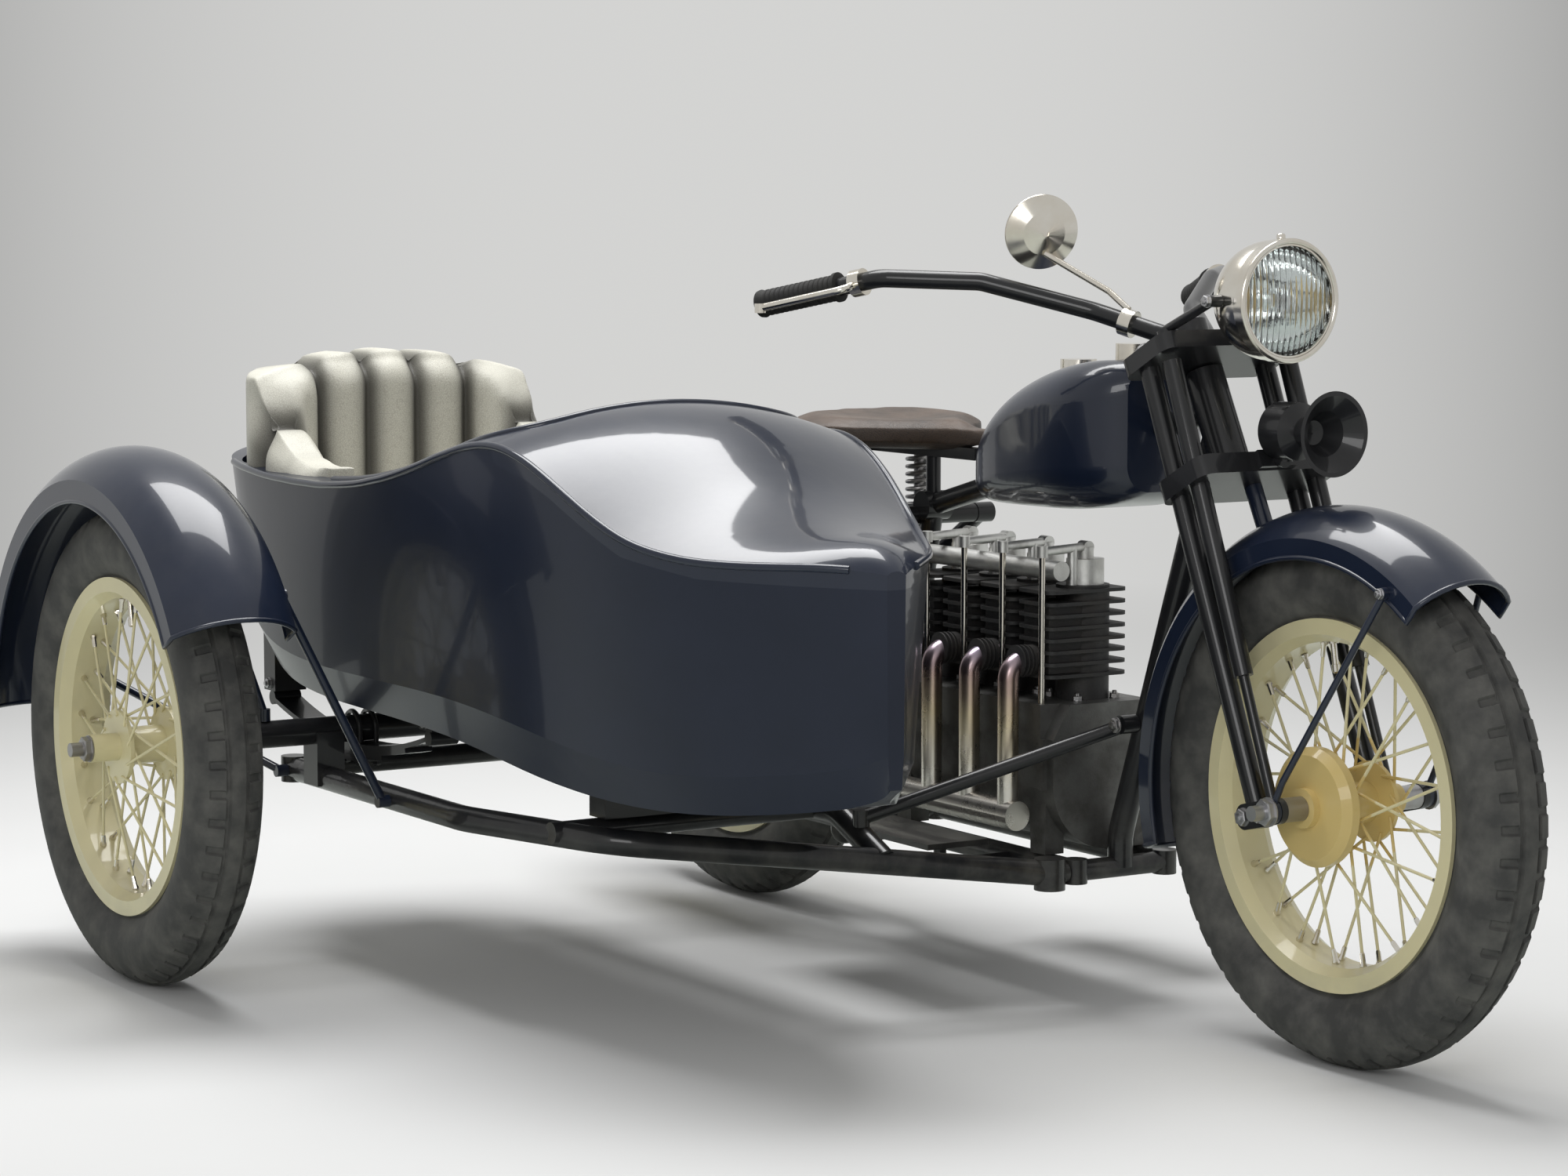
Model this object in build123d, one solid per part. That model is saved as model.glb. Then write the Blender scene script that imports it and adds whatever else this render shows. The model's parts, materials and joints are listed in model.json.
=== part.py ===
"""A four-cylinder motorcycle of the 1920s kind with a boat-prowed sidecar on its right-hand side.

Millimetres. Working frame: X forward, Y to the left, Z up, ground at Z = 0, the motorcycle's centre plane
at Y = 0, X = 0 half way between its axles. The last step moves everything so that the origin lies under the
middle of the whole outfit's box, and MOVE holds that step for whoever needs it.
"""
from build123d import *
from math import atan2, cos, pi, radians, sin
import os

# Driving sizes
WHEELBASE = 1500.0
TYRE_RADIUS = 345.0
TYRE_WIDTH = 106.0
TRACK = 1121.0
SIDECAR_LEAD = 167.0
RAKE = 27.0
TRAIL = 140.0
SEAT = 0.3
RUN = 0.05

FRONT_X = WHEELBASE / 2
REAR_X = -WHEELBASE / 2
SIDE_X = REAR_X + SIDECAR_LEAD
SIDE_Y = -TRACK
AXLE_Z = TYRE_RADIUS
AXLE_R = 10.0
NUT_R = 15.0
NUT_T = 11.0
FREE_END = 18.0
EYE_T = 9.0
STEER_LOCK = 35.0


# Shared makers
ALONG = (1, 0, 0)
ACROSS = (0, 1, 0)
UPRIGHT = (0, 0, 1)


def bar(start, end, radius):
    """A straight round bar between two points."""
    start = Vector(start)
    end = Vector(end)
    return Solid.make_cylinder(radius, (end - start).length, Plane(origin=start, z_dir=end - start))


def boss(centre, axis, radius, half=None):
    """A round boss about a point, as long as it is wide unless half its length is given."""
    reach = Vector(axis) * (half or radius)
    return bar(Vector(centre) - reach, Vector(centre) + reach, radius)


def pad(point, radius):
    """The round foot of a stay, let into the wall beside it."""
    point = Vector(point)
    return bar(point - Vector(0, 3, 0), point + Vector(0, 6, 0), radius)


def rod(points, radius, bend):
    """A round bar along straight runs joined by bends."""
    path = FilletPolyline(*points, radius=bend)
    return sweep(Plane(path @ 0, z_dir=path % 0) * Circle(radius), path=path).solid()


def block(x, y, z):
    """A box from three (low, high) pairs."""
    return Solid.make_box(x[1] - x[0], y[1] - y[0], z[1] - z[0], Plane(origin=(x[0], y[0], z[0])))


def join(first, *others):
    """One solid from shapes that overlap."""
    return first.fuse(*others)


def both_sides(shape):
    return [shape, mirror(shape, about=Plane.XZ)]


def turned(outline):
    """A solid turned about Y from (radius, along) points."""
    return revolve(make_face(Polyline(*outline, close=True)), axis=Axis.Y).solid()


def turned_x(outline):
    """A solid turned about X from (radius, along) points."""
    points = [(along, radius) for radius, along in outline]
    return revolve(make_face(Polyline(*points, close=True)), axis=Axis.X).solid()


def solids(shape):
    return list(shape.solids())


# Steering frame: along the steering axis from the ground, ahead of it, and to the side
UP = Vector(-sin(radians(RAKE)), 0, cos(radians(RAKE)))
AHEAD = Vector(cos(radians(RAKE)), 0, sin(radians(RAKE)))
FOOT = Vector(FRONT_X + TRAIL, 0, 0)


def fork_point(along, ahead, side=0.0):
    return FOOT + UP * along + AHEAD * ahead + Vector(0, side, 0)


AXLE_ALONG = (Vector(FRONT_X, 0, AXLE_Z) - FOOT).dot(UP)
AXLE_AHEAD = (Vector(FRONT_X, 0, AXLE_Z) - FOOT).dot(AHEAD)

NODES = {}

# Wheels
BEAD_HALF = 33.7
SEAT_R = 229.5
RIM_RADIUS = SEAT_R + 13.5
RIM_WALL = 7.5
RIM_WELL = 17.5
LIP_HALF = 40.0
SPOKES = 40
SPOKE_R = 2.1
SPOKE_END_R = SEAT_R - RIM_WELL - 1
SPOKE_SWEEP = 42.0


def tyre():
    half = TYRE_WIDTH / 2
    shoulder = (TYRE_RADIUS - 14, 38)
    waist = (TYRE_RADIUS - 55, half)
    bead = (RIM_RADIUS + 2, BEAD_HALF)
    inner = (SEAT_R + SEAT, BEAD_HALF)

    def flip(point):
        return point[0], -point[1]

    edges = [
        Line(flip(inner), flip(bead)),
        ThreePointArc(flip(bead), flip(waist), flip(shoulder)),
        ThreePointArc(flip(shoulder), (TYRE_RADIUS, 0), shoulder),
        ThreePointArc(shoulder, waist, bead),
        Line(bead, inner),
        Line(inner, flip(inner)),
    ]
    return revolve(make_face(edges), axis=Axis.Y).solid()


def rim():
    lip = BEAD_HALF + SEAT
    return turned([
        (RIM_RADIUS, -LIP_HALF), (RIM_RADIUS, -lip), (SEAT_R, -lip), (SEAT_R, lip), (RIM_RADIUS, lip),
        (RIM_RADIUS, LIP_HALF), (SEAT_R - RIM_WALL, LIP_HALF), (SEAT_R - RIM_WELL, 24),
        (SEAT_R - RIM_WELL, -24), (SEAT_R - RIM_WALL, -LIP_HALF),
    ])


def laced(hub, flange_r, flange_y):
    """The hub with its spokes: two flanges, each with spokes on its inner and outer face."""
    wires = []
    per_face = SPOKES // 4
    for side in (-1, 1):
        for face, lean in ((4.5, 1), (-4.5, -1)):
            for count in range(per_face):
                turn = 360 / per_face * (count + 0.25 * (side + 1) + 0.25 * (lean + 1) / 2)
                far = turn + lean * SPOKE_SWEEP
                near_point = polar(flange_r, turn, side * (flange_y + face))
                far_point = polar(SPOKE_END_R, far, side * 9)
                wires.append(bar(near_point, far_point, SPOKE_R))
    return hub.fuse(*wires)


def polar(radius, angle, y):
    return Vector(radius * cos(radians(angle)), y, radius * sin(radians(angle)))


FLANGE_R = 46.0
FLANGE_Y = 36.0


def hub(half, drum_side=0, drum_r=78.0, drum_y=70.0):
    """A hub turned about Y; a brake drum may close one side."""
    bore = AXLE_R + RUN
    right = [(bore, -half), (20, -half), (20, -FLANGE_Y - 3), (FLANGE_R + 7, -FLANGE_Y - 3),
             (FLANGE_R + 7, -FLANGE_Y + 3), (27, -FLANGE_Y + 8)]
    drum = [(bore, -half), (26, -half), (26, -drum_y), (drum_r - 10, -drum_y), (drum_r, -drum_y + 10),
            (drum_r, -FLANGE_Y - 12), (drum_r - 14, -FLANGE_Y - 3), (FLANGE_R + 7, -FLANGE_Y - 3),
            (FLANGE_R + 7, -FLANGE_Y + 3), (27, -FLANGE_Y + 8)]
    low = drum if drum_side < 0 else right
    high = drum if drum_side > 0 else right
    return turned(low + [(r, -y) for r, y in reversed(high)])


HUB_HALF = 80.0

# One row for each wheel: name, x, y, brake side
WHEELS = [
    ("front", FRONT_X, 0.0, -1),
    ("rear", REAR_X, 0.0, 0),
    ("sidecar", SIDE_X, SIDE_Y, 0),
]
SPROCKET_Y = 82.0
SPROCKET_R = 96.0
for name, x, y, brake in WHEELS:
    place = Pos(x, y, AXLE_Z)
    centre = hub(HUB_HALF, brake)
    if name == "rear":
        # Brake drum on the left, carrying the chain sprocket
        drum = turned([(AXLE_R + RUN, 39), (84, 39), (84, SPROCKET_Y - 4), (SPROCKET_R, SPROCKET_Y - 4),
                       (SPROCKET_R, SPROCKET_Y + 4), (60, SPROCKET_Y + 4), (40, SPROCKET_Y + 10),
                       (AXLE_R + RUN, SPROCKET_Y + 10)])
        centre = join(centre, drum)
    NODES[name + "_tyre"] = [place * tyre()]
    NODES[name + "_rim"] = [place * rim()]
    NODES[name + "_hub"] = [place * laced(centre, FLANGE_R, FLANGE_Y)]


# Mudguards, turned about a wheel's axle between two angles above straight ahead
GUARD_WALL = 3.0


def guard(crown_r, half, drop, skirt_r, front, rear):
    shoulder = crown_r - drop
    inner_half = half - GUARD_WALL
    inner_shoulder = shoulder - GUARD_WALL / 2
    edges = [
        Line((skirt_r, -half), (shoulder, -half)),
        ThreePointArc((shoulder, -half), (crown_r, 0), (shoulder, half)),
        Line((shoulder, half), (skirt_r, half)),
        Line((skirt_r, half), (skirt_r, inner_half)),
        Line((skirt_r, inner_half), (inner_shoulder, inner_half)),
        ThreePointArc((inner_shoulder, inner_half), (crown_r - GUARD_WALL, 0), (inner_shoulder, -inner_half)),
        Line((inner_shoulder, -inner_half), (skirt_r, -inner_half)),
        Line((skirt_r, -inner_half), (skirt_r, -half)),
    ]
    shell = revolve(make_face(edges), axis=Axis.Y, revolution_arc=rear - front)
    return (Rot(0, -rear, 0) * shell).solid()


# Fork
HEAD_LOW = 850.0
HEAD_HIGH = 1000.0
STEM_R = 14.0
LEG_Y = 98.0
LEG_R = 14.0
LEG_TOP_AHEAD = 12.0
PIVOT_ALONG = AXLE_ALONG + 14
PIVOT_AHEAD = AXLE_AHEAD - 62
SPRING_TUBE_R = 13.0
SPRING_TOP_AHEAD = 60.0
SPRING_FOOT_AHEAD = PIVOT_AHEAD + 32
SPRING_BOX_END = 560.0
LINK_IN = 114.0
LINK_OUT = 124.0
CROWN_BACK = 24.0


def crown(along, thick, front):
    """A plate across the fork, square to the steering axis."""
    plane = Plane(origin=fork_point(along, 0), x_dir=AHEAD, z_dir=UP)
    middle = (front - CROWN_BACK) / 2
    outline = RectangleRounded(front + CROWN_BACK, 2 * LEG_Y + 44, 20)
    return extrude(plane * Pos(middle, 0) * outline, thick).solid()


def spring_axis(along):
    """Point of the front tube's centre line at a distance along the steering axis."""
    share = (along - PIVOT_ALONG) / (HEAD_HIGH - PIVOT_ALONG)
    return SPRING_FOOT_AHEAD + share * (SPRING_TOP_AHEAD - SPRING_FOOT_AHEAD)


leg = bar(fork_point(HEAD_HIGH + 14, LEG_TOP_AHEAD, LEG_Y),
          fork_point(PIVOT_ALONG, PIVOT_AHEAD, LEG_Y), LEG_R)
eye = bar(fork_point(PIVOT_ALONG, PIVOT_AHEAD, LEG_Y - 11),
          fork_point(PIVOT_ALONG, PIVOT_AHEAD, LINK_IN - SEAT), 17)
legs = both_sides(join(leg, eye))
stem = bar(fork_point(HEAD_LOW - 20, 0), fork_point(HEAD_HIGH + 40, 0), STEM_R)
low_crown = crown(HEAD_LOW - 30, 28, 84)
top_crown = crown(HEAD_HIGH + 2, 24, 84)
fork = join(low_crown, top_crown, stem, *legs)
hole = bar(fork_point(HEAD_LOW - 60, spring_axis(HEAD_LOW - 60), LEG_Y),
           fork_point(HEAD_LOW + 20, spring_axis(HEAD_LOW + 20), LEG_Y), SPRING_TUBE_R + SEAT)
NODES["fork"] = [fork.cut(*both_sides(hole))]

tube_top = HEAD_HIGH - 8
spring_tube = bar(fork_point(SPRING_BOX_END, spring_axis(SPRING_BOX_END), LEG_Y),
                  fork_point(tube_top, spring_axis(tube_top), LEG_Y), SPRING_TUBE_R)
plunger = bar(fork_point(PIVOT_ALONG, SPRING_FOOT_AHEAD, LEG_Y),
              fork_point(SPRING_BOX_END + 20, spring_axis(SPRING_BOX_END + 20), LEG_Y), 7)
plunger_eye = bar(fork_point(PIVOT_ALONG - 7, SPRING_FOOT_AHEAD, LEG_Y - 8),
                  fork_point(PIVOT_ALONG - 7, SPRING_FOOT_AHEAD, LINK_IN - SEAT), 11)
NODES["fork_springs"] = both_sides(join(spring_tube, plunger, plunger_eye))

link_plane = Plane(origin=(0, LINK_IN, 0), x_dir=(1, 0, 0), z_dir=(0, 1, 0))


def link(start, end, radius, low, high):
    """A flat link with round ends between two points of the XZ plane."""
    start = Vector(start)
    end = Vector(end)
    lean = (end - start).normalized()
    side = Vector(-lean.Z, 0, lean.X) * radius
    corners = [start + side, end + side, end - side, start - side]
    plate = extrude(make_face(Polyline(*corners, close=True)), high - low, dir=(0, 1, 0))
    plate = Pos(0, low, 0) * plate
    ends = [bar((p.X, low, p.Z), (p.X, high, p.Z), radius) for p in (start, end)]
    return plate.solid().fuse(*ends)


pivot = fork_point(PIVOT_ALONG, PIVOT_AHEAD)
axle_point = Vector(FRONT_X, 0, AXLE_Z)
rocker = link(pivot, axle_point, 17, LINK_IN, LINK_OUT)
rocker = rocker.cut(bar((FRONT_X, LINK_IN - 5, AXLE_Z), (FRONT_X, LINK_OUT + 5, AXLE_Z), AXLE_R + RUN))
NODES["fork_links"] = both_sides(rocker)

FRONT_NUT = LINK_OUT + EYE_T + SEAT
FRONT_END = FRONT_NUT + NUT_T + FREE_END
front_axle = bar((FRONT_X, -FRONT_END, AXLE_Z), (FRONT_X, FRONT_END, AXLE_Z), AXLE_R)
front_nuts = both_sides(bar((FRONT_X, FRONT_NUT, AXLE_Z), (FRONT_X, FRONT_NUT + NUT_T, AXLE_Z), NUT_R))
front_collars = both_sides(bar((FRONT_X, HUB_HALF + 0.5, AXLE_Z), (FRONT_X, LINK_IN - SEAT, AXLE_Z), 16))
NODES["front_axle"] = [join(front_axle, *front_collars, *front_nuts)]

# Front mudguard with its stays
FRONT_GUARD_R = 388.0
FRONT_GUARD_HALF = 78.0
STAY_R = 4.5
front_guard = Pos(FRONT_X, 0, AXLE_Z) * guard(FRONT_GUARD_R, FRONT_GUARD_HALF, 40, 322, 53, 196)
stay_top = Vector(FRONT_X, 0, AXLE_Z) + polar(330, 62, FRONT_GUARD_HALF + 2)
stay_knee = Vector(FRONT_X, 0, AXLE_Z) + polar(46, 62, LINK_OUT + 5)
front_stay = join(rod([stay_top, stay_knee, (FRONT_X, LINK_OUT + 5, AXLE_Z)], STAY_R, 18),
                  bar((FRONT_X, LINK_OUT + SEAT, AXLE_Z), (FRONT_X, LINK_OUT + EYE_T, AXLE_Z), 16),
                  pad(stay_top, 8))
front_stay = front_stay.cut(bar((FRONT_X, LINK_OUT - 5, AXLE_Z), (FRONT_X, LINK_OUT + 20, AXLE_Z),
                                AXLE_R + RUN))
front_guard = front_guard.fuse(*both_sides(front_stay))
# The bridge that hangs the mudguard from the lower crown
bridge_low = fork_point(HEAD_LOW - 94, 30)
bridge = bar(bridge_low, fork_point(HEAD_LOW - 30 - SEAT, 30), 12)
NODES["front_mudguard"] = [front_guard.fuse(bridge)]

# Handlebar, grips and stem clamp
BAR_R = 12.7
GRIP_R = 17.0
GRIP_LENGTH = 125.0
BAR_ROWS = [(-825, 380, 979), (-655, 300, 1016), (-555, 200, 1012), (-450, 84, 972)]
BAR_POINTS = [(FRONT_X + x, y, z) for x, y, z in BAR_ROWS]
BAR_CENTRE = fork_point(HEAD_HIGH + 50, 0)
bar_line = BAR_POINTS + [(BAR_CENTRE.X, 26, BAR_CENTRE.Z)]
right_line = [(x, -y, z) for x, y, z in reversed(bar_line)]
clamp = bar(fork_point(HEAD_HIGH + 26 + SEAT, 0), fork_point(HEAD_HIGH + 72, 0), 24)
clamp_bore = bar(fork_point(HEAD_HIGH, 0), fork_point(HEAD_HIGH + 40.3, 0), STEM_R + RUN)
handlebar = join(rod(bar_line + right_line, BAR_R, 55), clamp).cut(clamp_bore)
grip_end = Vector(BAR_POINTS[0])
grip_lean = (Vector(BAR_POINTS[1]) - grip_end).normalized()
grip = bar(grip_end - grip_lean * 8, grip_end + grip_lean * GRIP_LENGTH, GRIP_R)
grip_core = bar(grip_end - grip_lean * SEAT, grip_end + grip_lean * (GRIP_LENGTH + 10), BAR_R + RUN)
NODES["handlebar"] = [handlebar]
NODES["grips"] = both_sides(grip.cut(grip_core))

# Control levers, one under each grip
lever_root = grip_end + grip_lean * (GRIP_LENGTH + 32)
lever_ring = bar(lever_root - grip_lean * 9, lever_root + grip_lean * 9, 19)
lever_ring = lever_ring.cut(bar(lever_root - grip_lean * 20, lever_root + grip_lean * 20, BAR_R + RUN))
lever_out = Vector(0.42, 0.88, -0.2).normalized()
lever_knee = lever_root + lever_out * 42
lever_tip = grip_end + grip_lean * 22 + lever_out * 50
lever = join(lever_ring, rod([lever_root + lever_out * 16, lever_knee, lever_tip], 5.5, 14),
             boss(lever_tip, UPRIGHT, 8, 6.5))
NODES["control_levers"] = both_sides(lever)

# Mirror on a cranked stalk, clamped to the right-hand bar near the stem
run = (Vector(BAR_POINTS[3][0], -BAR_POINTS[3][1], BAR_POINTS[3][2])
       - Vector(BAR_CENTRE.X, -26, BAR_CENTRE.Z)).normalized()
mirror_root = Vector(BAR_CENTRE.X, -26, BAR_CENTRE.Z) + run * 78
mirror_ring = bar(mirror_root - run * 9, mirror_root + run * 9, 19)
mirror_ring = mirror_ring.cut(bar(mirror_root - run * 20, mirror_root + run * 20, BAR_R + RUN))
stalk_low = mirror_root + Vector(0, 0, 18)
stalk_knee = mirror_root + Vector(-34, -8, 42)
mirror_middle = mirror_root + Vector(-124.6, -57.8, 123)
stalk_top = mirror_middle + Vector(10, 0, -30)
mirror_face = Vector(-0.94, 0.28, 0.2).normalized()
mirror_outline = Polyline((0, 0), (0, 22), (30, 14), (52, 3), (52, 0), close=True)
mirror_head = revolve(make_face(mirror_outline), Axis.Y).solid()
mirror_plane = Plane(origin=mirror_middle, x_dir=(0.28, 0.94, 0), z_dir=mirror_face)
mirror_head = mirror_plane * Rot(-90, 0, 0) * mirror_head
NODES["mirror"] = [join(mirror_ring, rod([stalk_low, stalk_knee, stalk_top], STAY_R, 14), mirror_head)]

# Headlamp: bowl, glass and bracket
LAMP_FRONT = FRONT_X - 150
LAMP_Z = 992.0
LAMP_R = 78.0
LAMP_DEEP = 96.0


def cap(depth, radius):
    """Start, middle and end of an arc from the axis to a radius, with its centre on the axis."""
    centre = (radius * radius - depth * depth) / (2 * depth)
    sphere = centre + depth
    half = atan2(radius, -centre) + (pi - atan2(radius, -centre)) / 2
    return (-depth, 0), (centre + sphere * cos(half), sphere * sin(half)), (0, radius)


outer_bowl = cap(LAMP_DEEP, LAMP_R)
inner_bowl = cap(LAMP_DEEP - 6, LAMP_R - 6)
lamp_edges = [
    ThreePointArc(*outer_bowl),
    Line((0, LAMP_R), (0, LAMP_R + 4)),
    Line((0, LAMP_R + 4), (16, LAMP_R + 4)),
    Line((16, LAMP_R + 4), (16, LAMP_R - 6)),
    Line((16, LAMP_R - 6), (0, LAMP_R - 6)),
    ThreePointArc(*reversed(inner_bowl)),
    Line((-LAMP_DEEP + 6, 0), (-LAMP_DEEP, 0)),
]
lamp_place = Pos(LAMP_FRONT, 0, LAMP_Z)
NODES["headlamp"] = [lamp_place * revolve(make_face(lamp_edges), axis=Axis.X).solid()]
GLASS_R = LAMP_R - 6 - SEAT
GLASS_BULGE = 13.0
glass_arc = [(12 - x, r) for x, r in cap(GLASS_BULGE, GLASS_R)]
glass_edges = [
    Line((6, 0), (6, GLASS_R)),
    Line((6, GLASS_R), (12, GLASS_R)),
    ThreePointArc(*reversed(glass_arc)),
    Line((12 + GLASS_BULGE, 0), (6, 0)),
]
NODES["headlamp_glass"] = [lamp_place * revolve(make_face(glass_edges), axis=Axis.X).solid()]

ARM_AHEAD = 58.0
ARM_Y = LAMP_R + 14
ARM_X = LAMP_FRONT - 30
arm_low = fork_point(HEAD_HIGH + 26 + SEAT, ARM_AHEAD, ARM_Y)
arm_foot = fork_point(HEAD_HIGH + 38, ARM_AHEAD, ARM_Y)
lamp_side = Vector(ARM_X, ARM_Y, LAMP_Z)
arm = join(bar(arm_low, arm_foot, 12), bar(arm_foot, lamp_side, 6.5),
           bar((ARM_X, LAMP_R + 1.5 + SEAT, LAMP_Z), (ARM_X, ARM_Y + 8, LAMP_Z), 8))
NODES["headlamp_bracket"] = both_sides(arm)

# Horn under the lamp, hung from the lower crown
HORN_Z = 822.0
HORN_BACK = FRONT_X - 160
horn_edges = [(0, 0), (30, 0), (38, 10), (38, 50), (20, 62), (22, 78), (34, 100), (52, 116), (56, 120),
              (50, 120), (30, 102), (16, 78), (0, 74)]
horn_body = Pos(HORN_BACK, 0, HORN_Z) * turned_x(horn_edges)
horn_root = fork_point(HEAD_LOW - 16, 84 + SEAT)
horn_arm = bar((HORN_BACK + 22, 0, HORN_Z - 20), horn_root + Vector(26, 0, 0), 9)
horn_foot = Plane(origin=horn_root, x_dir=(0, 1, 0), z_dir=AHEAD) * Box(60, 24, 10,
                                                                        align=(Align.CENTER, Align.CENTER,
                                                                               Align.MIN))
NODES["horn"] = [join(horn_body, horn_arm, horn_foot.solid(), bar(horn_root + AHEAD * 7,
                                                                   horn_root + Vector(26, 0, 0), 9))]

# Frame
TUBE_R = 16.0
HEAD_R = 27.0
RAIL_Y = 78.0
RAIL_Z = 190.0
DOWN_FOOT = (258.0, 0.0, 235.0)
SEAT_LUG = (-215.0, 0.0, 668.0)
STAY_Y = 112.0
LUG_HALF = 14.0
LUG_SWELL = 1.2
ELBOW = (-395.0, 106.0, 200.0)
head_tube = bar(fork_point(HEAD_LOW, 0), fork_point(HEAD_HIGH, 0), HEAD_R)
head_bore = bar(fork_point(HEAD_LOW - 20, 0), fork_point(HEAD_HIGH + 20, 0), STEM_R + RUN)
top_start = fork_point(HEAD_LOW + 95, 0)
down_start = fork_point(HEAD_LOW + 75, 0)
BACK_LUG = (-318.0, 0.0, RAIL_Z + 6)
rear_lug = Vector(REAR_X, STAY_Y, AXLE_Z)
tubes = [
    bar(top_start, SEAT_LUG, TUBE_R),
    rod([down_start, DOWN_FOOT, (DOWN_FOOT[0], 0, RAIL_Z)], TUBE_R + 2, 50),
    bar(SEAT_LUG, BACK_LUG, TUBE_R),
    bar((DOWN_FOOT[0], -RAIL_Y, RAIL_Z), (DOWN_FOOT[0], RAIL_Y, RAIL_Z), TUBE_R - 1),
    bar((BACK_LUG[0], -RAIL_Y, RAIL_Z), (BACK_LUG[0], RAIL_Y, RAIL_Z), TUBE_R - 1),
    boss(SEAT_LUG, ACROSS, TUBE_R + 6),
    bar((SEAT_LUG[0] - 20, -STAY_Y + 10, SEAT_LUG[2] - 16), (SEAT_LUG[0] - 20, STAY_Y - 10, SEAT_LUG[2] - 16),
        TUBE_R - 2),
]
for side in (-1, 1):
    tubes += [
        bar((DOWN_FOOT[0], side * RAIL_Y, RAIL_Z), (BACK_LUG[0], side * RAIL_Y, RAIL_Z), TUBE_R),
        boss((DOWN_FOOT[0], side * RAIL_Y, RAIL_Z), UPRIGHT, TUBE_R + LUG_SWELL),
        boss((BACK_LUG[0], side * RAIL_Y, RAIL_Z), UPRIGHT, TUBE_R + LUG_SWELL),
        rod([(BACK_LUG[0], side * RAIL_Y, RAIL_Z), (ELBOW[0], side * ELBOW[1], ELBOW[2]),
             (REAR_X, side * STAY_Y, AXLE_Z)], TUBE_R - 3, 60),
        boss((SEAT_LUG[0] - 20, side * (STAY_Y - 10), SEAT_LUG[2] - 16), ACROSS, TUBE_R - 2 + LUG_SWELL),
        bar((SEAT_LUG[0] - 20, side * (STAY_Y - 10), SEAT_LUG[2] - 16), (REAR_X, side * STAY_Y, AXLE_Z),
            TUBE_R - 4),
        bar((REAR_X, side * (STAY_Y - LUG_HALF), AXLE_Z), (REAR_X, side * (STAY_Y + LUG_HALF), AXLE_Z), 24),
    ]
# The saddle post and the bridge that carries the rear mudguard
POST_TOP = 742.0
tubes += [
    bar(SEAT_LUG, (SEAT_LUG[0], 0, POST_TOP), 11),
    bar((SEAT_LUG[0] - 26, 0, SEAT_LUG[2] - 150), (SEAT_LUG[0] - 210, 0, SEAT_LUG[2] - 150), 9),
]
SPRING_X = -380.0
SPRING_Y = 84.0
SPRING_FOOT = 640.0
stay_share = (SEAT_LUG[0] - 20 - SPRING_X) / (SEAT_LUG[0] - 20 - REAR_X)
stay_z = SEAT_LUG[2] - 16 + stay_share * (AXLE_Z - SEAT_LUG[2] + 16)
for side in (-1, 1):
    tubes.append(bar((SPRING_X, side * 104, stay_z), (SPRING_X, side * SPRING_Y, SPRING_FOOT - SEAT - 3), 8))
    tubes.append(bar((SPRING_X, side * SPRING_Y, SPRING_FOOT - SEAT - 8), (SPRING_X, side * SPRING_Y,
                                                                        SPRING_FOOT - SEAT), 22))
frame = head_tube.fuse(*tubes)
axle_hole = bar((REAR_X, -200, AXLE_Z), (REAR_X, 200, AXLE_Z), AXLE_R + RUN)
REAR_GUARD_R = 392.0
REAR_GUARD_HALF = 76.0
room_r = REAR_GUARD_R + SEAT
guard_room = Pos(REAR_X, 0, AXLE_Z) * turned([(300, -40), (room_r, -40), (room_r, 40), (300, 40)])
frame = frame.cut(head_bore, axle_hole, guard_room)

NUT_OUT = STAY_Y + LUG_HALF
REAR_NUT = NUT_OUT + EYE_T + SEAT
REAR_END = REAR_NUT + NUT_T + FREE_END
rear_axle = bar((REAR_X, -REAR_END, AXLE_Z), (REAR_X, REAR_END, AXLE_Z), AXLE_R)
rear_nuts = both_sides(bar((REAR_X, REAR_NUT, AXLE_Z), (REAR_X, REAR_NUT + NUT_T, AXLE_Z), NUT_R))
rear_collars = [
    bar((REAR_X, -HUB_HALF - 0.5, AXLE_Z), (REAR_X, -STAY_Y + LUG_HALF + SEAT, AXLE_Z), 16),
    bar((REAR_X, SPROCKET_Y + 10.5, AXLE_Z), (REAR_X, STAY_Y - LUG_HALF - SEAT, AXLE_Z), 16),
]
NODES["rear_axle"] = [join(rear_axle, *rear_collars, *rear_nuts)]

# Rear mudguard
rear_guard = Pos(REAR_X, 0, AXLE_Z) * guard(REAR_GUARD_R, REAR_GUARD_HALF, 40, 325, 8, 172)
rear_stay_top = Vector(REAR_X, 0, AXLE_Z) + polar(338, 148, REAR_GUARD_HALF + 2)
rear_knee = Vector(REAR_X, 0, AXLE_Z) + polar(60, 148, NUT_OUT + 5)
rear_stay = join(rod([rear_stay_top, rear_knee, (REAR_X, NUT_OUT + 5, AXLE_Z)], STAY_R, 18),
                 pad(rear_stay_top, 8),
                 bar((REAR_X, NUT_OUT + SEAT, AXLE_Z), (REAR_X, NUT_OUT + EYE_T, AXLE_Z), 16))
rear_stay = rear_stay.cut(axle_hole)
NODES["rear_mudguard"] = [rear_guard.fuse(*both_sides(rear_stay))]

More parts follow.
